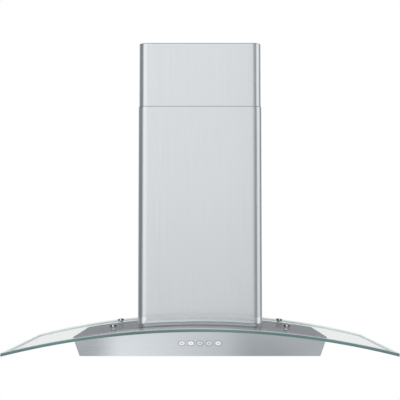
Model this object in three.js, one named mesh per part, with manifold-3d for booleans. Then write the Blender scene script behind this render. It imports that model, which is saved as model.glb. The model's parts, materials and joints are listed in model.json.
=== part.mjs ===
// A wall-hung kitchen hood: a bent glass canopy on a slim steel body, under a two-part chimney.
// Millimetres. X runs to the right, Y towards the wall, Z up. The wall is the plane Y = 0.
// Inside the hood's group heights are measured from the body's bottom edge. The group is then
// lowered, so that the finished model's origin lies on the back panel, between its wall screws.

import * as THREE from 'three';
import { mergeVertices } from 'three/addons/utils/BufferGeometryUtils.js';
import Module from 'manifold-3d';

// Clearances and sheet
const GAP = 0.3; // between pieces that touch
const SHEET = 1; // folded steel sheet
const LAP = 1; // how far a cutter, or a solid that is joined on, runs past a face

// Glass canopy
const GLASS_WIDTH = 900;
const GLASS_DEPTH = 500;
const GLASS_THICKNESS = 8;
const GLASS_BEND_RADIUS = 1840; // of the upper face
const GLASS_CORNER_RADIUS = 12;
const GLASS_HOLE_CLEARANCE = 1;

// Body
const BODY_HEIGHT = 73; // on the centre line, to the top plate's upper face
const BODY_DEPTH = 310;
const BODY_BOTTOM_WIDTH = 590;
const BODY_SIDE_LEAN = 20; // degrees outwards from upright
const BODY_LIP = 12;

// Glass fixings
const WASHER_THICKNESS = 1;
const WASHER_RADIUS = 8;
const FIXING_SPREAD = 430;
const FIXING_FRONT_FROM_WALL = 285;
const FIXING_REAR_FROM_WALL = 77;
const FIXING_HEAD_RADIUS = 8;
const FIXING_HEAD_HEIGHT = 5;
const FIXING_HEAD_ROUNDING = 1.5;
const FIXING_HEAD_CROWN = 0.6;
const FIXING_SHANK_RADIUS = 3;
const NUT_RADIUS = 6;
const NUT_HEIGHT = 4;

// Wall screws
const HANG_HEIGHT = 38; // above the body's bottom edge
const WALL_SCREW_SPREAD = 460;
const WALL_SCREW_HEAD_RADIUS = 7;
const WALL_SCREW_HEAD_HEIGHT = 4;
const WALL_SCREW_SHANK_RADIUS = 3;

// Chimney
const CHIMNEY_WIDTH = 310;
const CHIMNEY_DEPTH = 291;
const CHIMNEY_CORNER_RADIUS = 23;
const CHIMNEY_RETURN = 16; // width of the flange along the wall
const LOWER_CHIMNEY_HEIGHT = 538;
const UPPER_CHIMNEY_LENGTH = 400;
const UPPER_CHIMNEY_SHOWN = 160;
const CHIMNEY_SLIDE_CLEARANCE = 0.6;

// Chimney wall brackets
const BRACKET_SHEET = 2;
const BRACKET_HEIGHT = 30;
const BRACKET_EAR = 45;
const BRACKET_WEB_CLEARANCE = 1;
const LOWER_BRACKET_ABOVE_GLASS = 10;
const UPPER_BRACKET_BELOW_TOP = 10;
const BRACKET_SLOT_SPREAD = 180;
const BRACKET_SLOT_LENGTH = 14;
const BRACKET_SLOT_WIDTH = 6;

// Bottom panel and grease filters
const FILTER_OPENING_WIDTH = 254;
const FILTER_OPENING_DEPTH = 214;
const FILTER_OPENING_FROM_WALL = 24;
const FILTER_MIDDLE_RAIL = 26;
const FILTER_RIM_HEIGHT = 10;
const FILTER_CLEARANCE = 1;
const FILTER_THICKNESS = 9;
const FILTER_BAR = 14;
const FILTER_FRONT_BAR = 26;
const FILTER_CHANNEL_WALL = 1;
const FILTER_CHANNEL_DEPTH = 6;
const FILTER_PIN_RADIUS = 2;
const FILTER_PIN_FROM_RIM = 9;
const FILTER_HEEL = 6.5; // from the pin to the frame's rear edge
const MESH_PITCH = 12;
const MESH_SHEET = 1.2;

// Filter latches
const LATCH_WIDTH = 46;
const LATCH_LENGTH = 10;
const LATCH_TRAVEL = 5;
const LATCH_FRONT_WALL = 4;
const LATCH_TONGUE_WIDTH = 20;
const LATCH_TONGUE_THICKNESS = 3;
const LATCH_CUP_DEPTH = 5;
const LATCH_CUP_RIM = 2;
const LATCH_CUP_CHEEK = 4;

// Lamps
const LAMP_SPREAD = 400;
const LAMP_FROM_FRONT = 42;
const LAMP_BEZEL_RADIUS = 27;
const LAMP_NECK_RADIUS = 24;
const LAMP_LENS_RADIUS = 21;
const LAMP_LENS_LIP = 2;
const LAMP_LENS_THICKNESS = 2;
const LAMP_LENS_RECESS = 1;
const LAMP_NECK_HEIGHT = 6;
const LAMP_HOUSING_HEIGHT = 24;
const LAMP_FIN_COUNT = 2;
const LAMP_FIN_DEPTH = 4;

// Push buttons
const BUTTON_COUNT = 5;
const BUTTON_PITCH = 22.3;
const BUTTON_HEIGHT = 31; // centre line above the body's bottom edge
const BUTTON_CAP_WIDTH = 15.4;
const BUTTON_CAP_HEIGHT = 10.8;
const BUTTON_PROUD = 1.5;
const BUTTON_EDGE_DEPTH = 0.5; // of the sloping edge round the cap's face
const BUTTON_EDGE_WIDTH = 1;
const BUTTON_TRAVEL = 2.5;
const BUTTON_FLANGE = 1.3;
const BUTTON_FLANGE_THICKNESS = 1.5;
const BUTTON_STEM_RADIUS = 2.5;
const BUTTON_STEM_LENGTH = 8;
const BEZEL_RING = 0.7;
const BEZEL_PLATE_THICKNESS = 2;
const BEZEL_MARGIN = 3;
const SWITCH_BLOCK_DEPTH = 18;
const SWITCH_POST_WIDTH = 3;

// Lamp driver
const DRIVER_WIDTH = 90;
const DRIVER_DEPTH = 32;
const DRIVER_HEIGHT = 20;
const DRIVER_FROM_CENTRE = 75;
const DRIVER_FOOT = 6;
const DRIVER_FOOT_THICKNESS = 2;
const DRIVER_CAN_INSET = 1;
const DRIVER_CAN_CORNER = 3;

// Blower box
const BLOWER_WIDTH = 260;
const BLOWER_DEPTH = 230;
const BLOWER_FROM_WALL = 35;
const BLOWER_TOP_HEIGHT = 330; // above the body's bottom edge
const BLOWER_FOOT = 8;
const BLOWER_GLASS_CLEARANCE = 3;
const THROAT_LEDGE = 3; // width of the top plate inside the blower box's walls

// Fan
const FAN_AXIS_HEIGHT = 195;
const IMPELLER_RADIUS = 80;
const IMPELLER_LENGTH = 108;
const BLADE_COUNT = 28;
const BLADE_CHORD = 15;
const BLADE_THICKNESS = 1.2;
const BLADE_SWEEP = 7; // degrees between a blade's inner and outer edge
const BLADE_STATIONS = 2;
const BLADE_TIP_INSET = 1; // inside the rims' outer edge
const IMPELLER_RING_WIDTH = 7;
const IMPELLER_RING_THICKNESS = 3;
const IMPELLER_DISC_THICKNESS = 2.5;
const HUB_RADIUS = 14;
const HUB_LENGTH = 14;
const SHAFT_RADIUS = 4;
const SHAFT_END = 2; // past its nut
const SHAFT_NUT_RADIUS = 6.8;
const SHAFT_NUT_HEIGHT = 4;
const SCROLL_WALL = 2;
const SCROLL_TONGUE_CLEARANCE = 7;
const SCROLL_GROWTH = 25;
const SCROLL_TONGUE_ANGLE = 70; // degrees above the horizontal
const SCROLL_SIDE_CLEARANCE = 5;
const SCROLL_MOUTH_DEPTH = 110;
const SCROLL_STEPS = 18;
const INLET_RADIUS = 66;
const INLET_ROUNDING = 5;
const INLET_LIP = 1; // straight length inside the rounding
const MOTOR_RADIUS = 46;
const MOTOR_TAIL = 4; // how far its boss stands out of its bracket
const MOTOR_CLEARANCE = 3;
const MOTOR_BEARING_DEPTH = 12;
const MOTOR_END_RADIUS = 26;
const MOTOR_END_STEP = 5;
const SPIDER_THICKNESS = 3;
const SPIDER_RIM_WIDTH = 8;
const SPIDER_RING_WIDTH = 4;
const SPIDER_ARM_WIDTH = 10;
const SPIDER_ARMS = 3;

// Outlet collar and non-return flaps
const COLLAR_RADIUS = 75;
const COLLAR_WALL = 2;
const COLLAR_HEIGHT = 60;
const COLLAR_BASE_WIDTH = 172;
const COLLAR_BASE_THICKNESS = 1.5;
const COLLAR_BASE_CORNER = 8;
const COLLAR_BAR_WIDTH = 4;
const FLAP_HEIGHT = 10; // of the pivot above the collar's base
const FLAP_THICKNESS = 1.2;
const FLAP_CLEARANCE = 1;
const FLAP_PIN_RADIUS = 1.6;

// Electrics on the back of the blower box
const JUNCTION_WIDTH = 100;
const JUNCTION_HEIGHT = 65;
const JUNCTION_DEPTH = 24;
const JUNCTION_WALL = 1.5;
const JUNCTION_FROM_CENTRE = 15;
const JUNCTION_BELOW_TOP = 45;
const COVER_TRAY_DEPTH = 3;
const GLAND_RADIUS = 9;
const GLAND_NECK_RADIUS = 6;
const GLAND_BORE_RADIUS = 4.5;
const GLAND_LENGTH = 16;
const GLAND_GRIP_LENGTH = 9.6;
const GLAND_CHAMFER = 1.5;
const GLAND_TAIL = 2; // past the junction box's wall
const CAPACITOR_RADIUS = 13;
const CAPACITOR_LENGTH = 62;
const CAPACITOR_RIM = 1;
const CAPACITOR_FROM_CENTRE = 35;
const CAPACITOR_BELOW_TOP = 60;
const CLIP_THICKNESS = 1.5;
const CLIP_WIDTH = 12;
const CLIP_EAR = 9;

// Heights and planes that follow from the sizes above
const GLASS_SEAT = GAP + WASHER_THICKNESS + GAP;
const GLASS_TOP = BODY_HEIGHT + GLASS_SEAT + GLASS_THICKNESS;
const BEND_CENTRE = GLASS_TOP - GLASS_BEND_RADIUS;
const PLATE_BELOW = GLASS_THICKNESS + GLASS_SEAT; // from the glass's upper face to the top plate's
const FRONT = -BODY_DEPTH;
const PANEL_BOTTOM = SHEET + GAP;
const PANEL_TOP = PANEL_BOTTOM + SHEET;
const LOWER_CHIMNEY_TOP = GLASS_TOP + LOWER_CHIMNEY_HEIGHT;
const UPPER_CHIMNEY_TOP = LOWER_CHIMNEY_TOP + UPPER_CHIMNEY_SHOWN;
const CHIMNEY_INSET = SHEET + CHIMNEY_SLIDE_CLEARANCE;
const BLOWER_BACK = -BLOWER_FROM_WALL;
const BLOWER_MIDDLE = BLOWER_BACK - BLOWER_DEPTH / 2;
const SCROLL_HALF = IMPELLER_LENGTH / 2 + SCROLL_SIDE_CLEARANCE;
const COLLAR_BASE = BLOWER_TOP_HEIGHT + GAP;
const TALL = 1000; // reaches past the whole hood, for cutting tools

// Facets: steps in each arc of an outline, and steps round a turned piece
const BEND_STEPS = 26;
const OVAL_STEPS = 16;
const CORNER_STEPS = 8;
const SMALL_CORNER_STEPS = 4;
const COLLAR_ROUND = 36;
const ROUND = 24;
const LAMP_ROUND = 20;
const SMALL_ROUND = 14;
const PIN_ROUND = 10;
const HEXAGON = 6;

const MERGE_WITHIN = 1e-4;

const wasm = await Module();
wasm.setup();

const radians = THREE.MathUtils.degToRad;
const degrees = THREE.MathUtils.radToDeg;

// A solid from a closed three.js geometry, and a geometry back from a solid

function solidOf(geometry) {
  for (const name of ['normal', 'uv']) geometry.deleteAttribute(name);
  const merged = mergeVertices(geometry, MERGE_WITHIN);
  const triangles = [];
  for (let i = 0; i < merged.index.count; i += 3) {
    const [a, b, c] = [0, 1, 2].map((k) => merged.index.getX(i + k));
    if (a !== b && b !== c && c !== a) triangles.push(a, b, c);
  }
  return new wasm.Manifold(new wasm.Mesh({
    numProp: 3,
    vertProperties: Float32Array.from(merged.attributes.position.array),
    triVerts: Uint32Array.from(triangles),
  }));
}

function geometryOf(solid) {
  const { vertProperties, triVerts } = solid.getMesh();
  const geometry = new THREE.BufferGeometry();
  geometry.setAttribute('position', new THREE.BufferAttribute(vertProperties, 3));
  geometry.setIndex(new THREE.BufferAttribute(triVerts, 1));
  geometry.computeVertexNormals();
  return geometry;
}

const joined = (...solids) => solids.flat().reduce((whole, piece) => whole.add(piece));

// Basic solids

function block([x0, x1], [y0, y1], [z0, z1]) {
  const geometry = new THREE.BoxGeometry(x1 - x0, y1 - y0, z1 - z0);
  return solidOf(geometry.translate((x0 + x1) / 2, (y0 + y1) / 2, (z0 + z1) / 2));
}

const pointsOf = (pairs) => pairs.map(([x, y]) => new THREE.Vector2(x, y));

// An outline drawn out, with this many steps in each of its arcs
function extruded(shape, depth, arcSteps) {
  return new THREE.ExtrudeGeometry(shape, { depth, bevelEnabled: false, curveSegments: arcSteps / 2 });
}

// An outline in X and Z, drawn out along Y
function extrudedAlongY(shape, [y0, y1], arcSteps = CORNER_STEPS) {
  return solidOf(extruded(shape, y1 - y0, arcSteps).rotateX(Math.PI / 2).translate(0, y1, 0));
}

// An outline in Y and Z, drawn out along X
function extrudedAlongX(shape, [x0, x1], arcSteps = CORNER_STEPS) {
  const turn = new THREE.Matrix4().makeBasis(
    new THREE.Vector3(0, 1, 0), new THREE.Vector3(0, 0, 1), new THREE.Vector3(1, 0, 0));
  return solidOf(extruded(shape, x1 - x0, arcSteps).applyMatrix4(turn).translate(x0, 0, 0));
}

// An outline in X and Y, drawn out along Z
function extrudedAlongZ(shape, [z0, z1], arcSteps = CORNER_STEPS) {
  return solidOf(extruded(shape, z1 - z0, arcSteps).translate(0, 0, z0));
}

// A turned piece: a closed profile of [radius, height] points, round the Z axis
function turned(profile, segments = ROUND) {
  const points = pointsOf(profile);
  const closed = profile[0][0] === 0 ? points : [...points, points[0]];
  return solidOf(new THREE.LatheGeometry(closed, segments).rotateX(Math.PI / 2));
}

function disc(radius, [z0, z1], segments = ROUND) {
  return turned([[0, z0], [radius, z0], [radius, z1], [0, z1]], segments);
}

function ring(inner, outer, [z0, z1], segments = ROUND) {
  return turned([[inner, z0], [outer, z0], [outer, z1], [inner, z1]], segments);
}

const lyingAlongX = (solid) => solid.rotate([0, 90, 0]);
const lyingAlongY = (solid) => solid.rotate([-90, 0, 0]);

function rectangle([x0, x1], [y0, y1]) {
  return new THREE.Shape(pointsOf([[x0, y0], [x1, y0], [x1, y1], [x0, y1]]));
}

function roundedRectangle([x0, x1], [y0, y1], radius) {
  const shape = new THREE.Shape();
  shape.absarc(x1 - radius, y1 - radius, radius, 0, Math.PI / 2);
  shape.absarc(x0 + radius, y1 - radius, radius, Math.PI / 2, Math.PI);
  shape.absarc(x0 + radius, y0 + radius, radius, Math.PI, Math.PI * 1.5);
  shape.absarc(x1 - radius, y0 + radius, radius, Math.PI * 1.5, Math.PI * 2);
  return shape;
}

function oval(width, height) {
  return new THREE.Shape().absellipse(0, 0, width / 2, height / 2, 0, Math.PI * 2);
}

// Angles from nothing to a right angle, for rounded profiles
const quarterTurn = (steps) => Array.from({ length: steps + 1 }, (_, i) => i * Math.PI / 2 / steps);

const onBothSides = (solid) => joined(solid, solid.mirror([1, 0, 0]));

// The bend that the glass, the top plate and the chimney's foot all follow

const roofHeight = (x, below) => BEND_CENTRE + Math.sqrt((GLASS_BEND_RADIUS - below) ** 2 - x ** 2);

const BEND_HALF_ANGLE = Math.asin((GLASS_WIDTH / 2 + GLASS_THICKNESS) / GLASS_BEND_RADIUS);
const BEND_ENDS = [Math.PI / 2 - BEND_HALF_ANGLE, Math.PI / 2 + BEND_HALF_ANGLE];

// A full-width layer of the bend. Every layer has its facets at the same angles.
function bentSheet(below, thickness, yRange) {
  const [start, end] = BEND_ENDS;
  const shape = new THREE.Shape();
  shape.absarc(0, BEND_CENTRE, GLASS_BEND_RADIUS - below, start, end);
  shape.absarc(0, BEND_CENTRE, GLASS_BEND_RADIUS - below - thickness, end, start, true);
  return extrudedAlongY(shape, yRange, BEND_STEPS);
}

// Everything under the bend, to cut other pieces with
function underBend(below) {
  const [start, end] = BEND_ENDS;
  const shape = new THREE.Shape();
  shape.absarc(0, BEND_CENTRE, GLASS_BEND_RADIUS - below, start, end);
  shape.lineTo(-GLASS_WIDTH / 2, -TALL);
  shape.lineTo(GLASS_WIDTH / 2, -TALL);
  return extrudedAlongY(shape, [-TALL, TALL], BEND_STEPS);
}

// Places a turned piece upright on the bent glass, at a distance x from the centre line
function onGlass(x, y) {
  const group = new THREE.Group();
  const angle = Math.asin(x / GLASS_BEND_RADIUS);
  group.position.set(x, y, roofHeight(x, 0));
  group.rotation.y = angle;
  return group;
}

// Where the four fixings are, and the same places for cutting holes

const FIXINGS = [-1, 1].flatMap((side) => [
  { name: `front_${side < 0 ? 'left' : 'right'}`, x: side * FIXING_SPREAD / 2, y: -FIXING_FRONT_FROM_WALL },
  { name: `rear_${side < 0 ? 'left' : 'right'}`, x: side * FIXING_SPREAD / 2, y: -FIXING_REAR_FROM_WALL },
]);

function atFixings(solid) {
  return FIXINGS.map(({ x, y }) => solid
    .rotate([0, degrees(Math.asin(x / GLASS_BEND_RADIUS)), 0])
    .translate([x, y, roofHeight(x, 0)]));
}

// Glass

function blowerPlan(grow) {
  const half = BLOWER_WIDTH / 2 + grow;
  return [[-half, half], [BLOWER_BACK - BLOWER_DEPTH - grow, BLOWER_BACK + grow]];
}

function glassCanopy() {
  const sheet = bentSheet(0, GLASS_THICKNESS, [-GLASS_DEPTH, 0]);
  const plan = roundedRectangle([-GLASS_WIDTH / 2, GLASS_WIDTH / 2], [-GLASS_DEPTH, 0], GLASS_CORNER_RADIUS);
  const [x, y] = blowerPlan(BLOWER_FOOT + BLOWER_GLASS_CLEARANCE);
  const hole = disc(FIXING_SHANK_RADIUS + GLASS_HOLE_CLEARANCE, [-TALL, TALL], PIN_ROUND);
  return sheet
    .intersect(extrudedAlongZ(plan, [-TALL, TALL]))
    .subtract(extrudedAlongZ(roundedRectangle(x, y, GLASS_CORNER_RADIUS), [-TALL, TALL], SMALL_CORNER_STEPS))
    .subtract(joined(atFixings(hole)));
}

// A chromed cap with a rounded edge and a faint crown, on a screw that ends in the plate's nut
function glassFixing() {
  const top = GAP + FIXING_HEAD_HEIGHT;
  const edge = quarterTurn(2).map((turn) => [
    FIXING_HEAD_RADIUS - FIXING_HEAD_ROUNDING * (1 - Math.cos(turn)),
    top - FIXING_HEAD_CROWN - FIXING_HEAD_ROUNDING * (1 - Math.sin(turn)),
  ]);
  const end = -(GLASS_THICKNESS + GLASS_SEAT + SHEET + NUT_HEIGHT);
  return turned([[0, end], [FIXING_SHANK_RADIUS, end], [FIXING_SHANK_RADIUS, GAP],
    [FIXING_HEAD_RADIUS, GAP], ...edge, [0, top]], SMALL_ROUND);
}

function glassWasher() {
  const top = -(GLASS_THICKNESS + GAP);
  return ring(FIXING_SHANK_RADIUS + GAP, WASHER_RADIUS, [top - WASHER_THICKNESS, top], SMALL_ROUND);
}

// Body: the leaning sides are one taper, inset for each layer inside it

function bodyTaper(inset, yRange, [z0, z1]) {
  const lean = Math.tan(radians(BODY_SIDE_LEAN));
  const half = (z) => BODY_BOTTOM_WIDTH / 2 + z * lean - inset / Math.cos(radians(BODY_SIDE_LEAN));
  const corners = [[-half(z0), z0], [half(z0), z0], [half(z1), z1], [-half(z1), z1]];
  return extrudedAlongY(new THREE.Shape(pointsOf(corners)), yRange);
}

const buttonCentres = Array.from({ length: BUTTON_COUNT },
  (_, i) => (i - (BUTTON_COUNT - 1) / 2) * BUTTON_PITCH);

// An oval prism behind each button place, from one Y to another
function ovals(width, height, yRange) {
  const prism = extrudedAlongY(oval(width, height), yRange, OVAL_STEPS);
  return buttonCentres.map((x) => prism.translate([x, 0, BUTTON_HEIGHT]));
}

const RING_INSIDE = 2 * GAP;
const RING_OUTSIDE = RING_INSIDE + 2 * BEZEL_RING;
const FRONT_HOLE = RING_OUTSIDE + 2 * GAP;

const PAST_BODY = 2 * BODY_HEIGHT; // a height above the whole body

// Front and sides in one sheet, folded in under the glass and above the opening below
function bodyWrap() {
  const lipBelow = PLATE_BELOW + SHEET + GAP;
  const yInside = [FRONT + SHEET, TALL];
  const zInside = [SHEET, PAST_BODY];
  const outer = bodyTaper(0, [FRONT, 0], [0, PAST_BODY]).intersect(underBend(PLATE_BELOW));
  const hollow = bodyTaper(SHEET, yInside, zInside).intersect(underBend(lipBelow + SHEET));
  const plateSeat = bodyTaper(SHEET, yInside, zInside).subtract(underBend(lipBelow));
  const window = bodyTaper(SHEET + BODY_LIP, [FRONT + SHEET + BODY_LIP, TALL], [-LAP, PAST_BODY]);
  const backSeat = bodyTaper(SHEET, [-SHEET - GAP, TALL], [-LAP, PAST_BODY]);
  const holes = ovals(BUTTON_CAP_WIDTH + FRONT_HOLE, BUTTON_CAP_HEIGHT + FRONT_HOLE,
    [FRONT - LAP, FRONT + SHEET + LAP]);
  return [hollow, plateSeat, window, backSeat, ...holes].reduce((shell, cut) => shell.subtract(cut), outer);
}

// Bent like the glass, with a clinch nut under each fixing and the blower's opening
function topPlate() {
  const edge = [FRONT + SHEET + GAP, -SHEET - GAP];
  const sheet = bentSheet(PLATE_BELOW, SHEET, edge).intersect(bodyTaper(SHEET + GAP, edge, [0, PAST_BODY]));
  const [x, y] = blowerPlan(-SHEET - THROAT_LEDGE);
  const nutTop = -PLATE_BELOW - SHEET / 2;
  const nut = disc(NUT_RADIUS, [nutTop - NUT_HEIGHT, nutTop], HEXAGON);
  const hole = disc(FIXING_SHANK_RADIUS + GAP, [-TALL, TALL], PIN_ROUND);
  return joined(sheet, atFixings(nut))
    .subtract(extrudedAlongZ(rectangle(x, y), [0, TALL]))
    .subtract(joined(atFixings(hole)));
}

const WALL_SCREWS = { left: -WALL_SCREW_SPREAD / 2, right: WALL_SCREW_SPREAD / 2 };

function backPanel() {
  const plate = bodyTaper(SHEET + GAP, [-SHEET, 0], [0, PAST_BODY]).intersect(underBend(PLATE_BELOW));
  const hole = lyingAlongY(disc(WALL_SCREW_SHANK_RADIUS + GAP, [-TALL, TALL], PIN_ROUND));
  return plate.subtract(joined(Object.values(WALL_SCREWS).map((x) => hole.translate([x, 0, HANG_HEIGHT]))));
}

// Turned with its point towards +Z, which is laid over towards the wall
function wallScrew() {
  const seat = -SHEET - GAP;
  const crown = quarterTurn(3).slice(0, -1).reverse().map((turn) => [
    WALL_SCREW_HEAD_RADIUS * Math.cos(turn), seat - WALL_SCREW_HEAD_HEIGHT * Math.sin(turn)]);
  return lyingAlongY(turned([[0, seat - WALL_SCREW_HEAD_HEIGHT], ...crown,
    [WALL_SCREW_SHANK_RADIUS, seat], [WALL_SCREW_SHANK_RADIUS, 0], [0, 0]], PIN_ROUND));
}

// Bottom panel

const FILTER_CENTRE = FILTER_MIDDLE_RAIL / 2 + FILTER_OPENING_WIDTH / 2;
const FILTER_SIDES = { left: -FILTER_CENTRE, right: FILTER_CENTRE };
const OPENING_BACK = -FILTER_OPENING_FROM_WALL;
const OPENING_FRONT = OPENING_BACK - FILTER_OPENING_DEPTH;
const FILTER_PIN_Y = OPENING_BACK - FILTER_PIN_FROM_RIM;
const FILTER_PIN_Z = PANEL_BOTTOM + FILTER_THICKNESS / 2;
const LAMP_SIDES = { left: -LAMP_SPREAD / 2, right: LAMP_SPREAD / 2 };
const LAMP_Y = FRONT + LAMP_FROM_FRONT;

function openingBlock(grow, zRange) {
  const half = FILTER_OPENING_WIDTH / 2 + grow;
  return block([-half, half], [OPENING_FRONT - grow, OPENING_BACK + grow], zRange);
}

function bottomPanel() {
  const edge = [FRONT + SHEET + GAP, -SHEET - GAP];
  const plate = bodyTaper(SHEET + GAP, edge, [PANEL_BOTTOM, PANEL_TOP]);
  const rim = openingBlock(SHEET, [PANEL_BOTTOM, PANEL_TOP + FILTER_RIM_HEIGHT]);
  const pinHole = lyingAlongX(disc(FILTER_PIN_RADIUS + GAP, [-TALL, TALL], PIN_ROUND))
    .translate([0, FILTER_PIN_Y, FILTER_PIN_Z]);
  const lampHole = disc(LAMP_NECK_RADIUS + GAP, [-LAP, PANEL_TOP + LAP], LAMP_ROUND);
  const centres = Object.values(FILTER_SIDES);
  return joined(plate, centres.map((x) => rim.translate([x, 0, 0])))
    .subtract(joined(centres.map((x) => openingBlock(0, [-LAP, TALL]).translate([x, 0, 0]))))
    .subtract(pinHole)
    .subtract(joined(Object.values(LAMP_SIDES).map((x) => lampHole.translate([x, LAMP_Y, 0]))));
}

// Grease filter, drawn about its own centre line

const FRAME_HALF = FILTER_OPENING_WIDTH / 2 - FILTER_CLEARANCE;
const FRAME_BACK = FILTER_PIN_Y + FILTER_HEEL;
const FRAME_FRONT = OPENING_FRONT + FILTER_CLEARANCE;
const FRAME_Z = [PANEL_BOTTOM, PANEL_BOTTOM + FILTER_THICKNESS];
const LATCH_SLOT_FRONT = FRAME_FRONT + LATCH_FRONT_WALL;

// The space inside the frame's bars, in X and Y, let into them by a depth
function filterInside(depth) {
  const half = FRAME_HALF - FILTER_BAR + depth;
  return [[-half, half], [FRAME_FRONT + FILTER_FRONT_BAR - depth, FRAME_BACK - FILTER_BAR + depth]];
}

function filterFrame() {
  const channel = [FRAME_Z[0] + FILTER_CHANNEL_WALL, FRAME_Z[1] - FILTER_CHANNEL_WALL];
  const pinReach = FRAME_HALF + FILTER_CLEARANCE + SHEET + GAP;
  const pin = lyingAlongX(disc(FILTER_PIN_RADIUS, [FRAME_HALF - LAP, pinReach], PIN_ROUND))
    .translate([0, FILTER_PIN_Y, FILTER_PIN_Z]);
  const latchHalf = LATCH_WIDTH / 2 + GAP;
  const slotBack = LATCH_SLOT_FRONT + LATCH_LENGTH + LATCH_TRAVEL + 2 * GAP;
  const tongueHalf = LATCH_TONGUE_WIDTH / 2 + GAP;
  const tongueZ = LATCH_TONGUE_THICKNESS / 2 + GAP;
  return joined(block([-FRAME_HALF, FRAME_HALF], [FRAME_FRONT, FRAME_BACK], FRAME_Z), onBothSides(pin))
    .subtract(block(...filterInside(0), [-TALL, TALL]))
    .subtract(block(...filterInside(FILTER_CHANNEL_DEPTH), channel))
    .subtract(block([-latchHalf, latchHalf], [LATCH_SLOT_FRONT, slotBack], [-TALL, TALL]))
    .subtract(block([-tongueHalf, tongueHalf], [FRAME_FRONT - LAP, LATCH_SLOT_FRONT + LAP],
      [FILTER_PIN_Z - tongueZ, FILTER_PIN_Z + tongueZ]));
}

// A sheet folded into ridges that run from front to back, held in the frame's channel
function filterMesh() {
  const [[, half], yRange] = filterInside(FILTER_CHANNEL_DEPTH - GAP);
  const foldWidth = MESH_PITCH / 2;
  const folds = 2 * Math.floor(half / foldWidth);
  const rise = FILTER_THICKNESS / 2 - FILTER_CHANNEL_WALL - GAP - MESH_SHEET / 2;
  const ridge = Array.from({ length: folds + 1 },
    (_, i) => [(i - folds / 2) * foldWidth, i % 2 ? rise : -rise]);
  const face = (offset) => ridge.map(([x, z]) => [x, z + offset]);
  const outline = [...face(-MESH_SHEET / 2), ...face(MESH_SHEET / 2).reverse()];
  return extrudedAlongY(new THREE.Shape(pointsOf(outline)), yRange).translate([0, 0, FILTER_PIN_Z]);
}

// A sliding catch with a finger cup below and a tongue that stops at the frame's front
function filterLatch() {
  const half = LATCH_WIDTH / 2;
  const front = LATCH_SLOT_FRONT + GAP;
  const back = front + LATCH_LENGTH;
  const cupHalf = half - LATCH_CUP_CHEEK;
  const cup = block([-cupHalf, cupHalf], [front + LATCH_CUP_RIM, back - LATCH_CUP_RIM],
    [FRAME_Z[0] - LAP, FRAME_Z[0] + LATCH_CUP_DEPTH]);
  const tongue = block([-LATCH_TONGUE_WIDTH / 2, LATCH_TONGUE_WIDTH / 2], [FRAME_FRONT, front + LAP],
    [FILTER_PIN_Z - LATCH_TONGUE_THICKNESS / 2, FILTER_PIN_Z + LATCH_TONGUE_THICKNESS / 2]);
  return joined(block([-half, half], [front, back], FRAME_Z), tongue).subtract(cup);
}

// Lamps, drawn about their own axis

function lampBezel() {
  const bore = LAMP_LENS_RADIUS + GAP;
  const window = LAMP_LENS_RADIUS - LAMP_LENS_LIP;
  const flange = PANEL_BOTTOM - GAP;
  return turned([
    [window, 0], [LAMP_BEZEL_RADIUS, 0], [LAMP_BEZEL_RADIUS, flange], [LAMP_NECK_RADIUS, flange],
    [LAMP_NECK_RADIUS, LAMP_NECK_HEIGHT], [bore, LAMP_NECK_HEIGHT],
    [bore, LAMP_LENS_RECESS - GAP], [window, LAMP_LENS_RECESS - GAP]], LAMP_ROUND);
}

function lampLens() {
  return disc(LAMP_LENS_RADIUS, [LAMP_LENS_RECESS, LAMP_LENS_RECESS + LAMP_LENS_THICKNESS], LAMP_ROUND);
}

// A can with cooling fins turned round it
function lampHousing() {
  const bottom = LAMP_LENS_RECESS + LAMP_LENS_THICKNESS + GAP;
  const shoulder = LAMP_NECK_HEIGHT + GAP;
  const finPitch = (LAMP_HOUSING_HEIGHT - shoulder) / (LAMP_FIN_COUNT + 0.5);
  const root = LAMP_NECK_RADIUS - LAMP_FIN_DEPTH;
  const finStarts = Array.from({ length: LAMP_FIN_COUNT + 1 }, (_, i) => shoulder + i * finPitch);
  const grooves = finStarts.slice(1).flatMap((z) => [
    [LAMP_NECK_RADIUS, z - finPitch / 2], [root, z - finPitch / 2], [root, z], [LAMP_NECK_RADIUS, z]]);
  return turned([[0, bottom], [LAMP_LENS_RADIUS, bottom], [LAMP_LENS_RADIUS, shoulder],
    [LAMP_NECK_RADIUS, shoulder], ...grooves,
    [LAMP_NECK_RADIUS, LAMP_HOUSING_HEIGHT], [0, LAMP_HOUSING_HEIGHT]], SMALL_ROUND);
}

// Push buttons and their switches

const BEZEL_FRONT = FRONT + SHEET + GAP;
const BEZEL_BACK = BEZEL_FRONT + BEZEL_PLATE_THICKNESS;
const FLANGE_BACK = BEZEL_BACK + GAP + BUTTON_FLANGE_THICKNESS;
const SWITCH_FRONT = FLANGE_BACK + BUTTON_TRAVEL + GAP;
const BEZEL_HALF_WIDTH = buttonCentres.at(-1) + BUTTON_CAP_WIDTH / 2 + RING_OUTSIDE + BEZEL_MARGIN;
const BEZEL_HALF_HEIGHT = BUTTON_CAP_HEIGHT / 2 + RING_OUTSIDE + BEZEL_MARGIN;
const SWITCH_X = [-BEZEL_HALF_WIDTH, BEZEL_HALF_WIDTH];
const SWITCH_Z = [BUTTON_HEIGHT - BEZEL_HALF_HEIGHT, BUTTON_HEIGHT + BEZEL_HALF_HEIGHT];

// A plate behind the body's front, with a ring that stands round each button's cap
function switchBezel() {
  const plate = block(SWITCH_X, [BEZEL_FRONT, BEZEL_BACK], SWITCH_Z);
  const rings = ovals(BUTTON_CAP_WIDTH + RING_OUTSIDE, BUTTON_CAP_HEIGHT + RING_OUTSIDE,
    [FRONT + GAP, BEZEL_BACK]);
  const holes = ovals(BUTTON_CAP_WIDTH + RING_INSIDE, BUTTON_CAP_HEIGHT + RING_INSIDE,
    [FRONT - LAP, BEZEL_BACK + LAP]);
  return joined(plate, rings).subtract(joined(holes));
}

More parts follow.
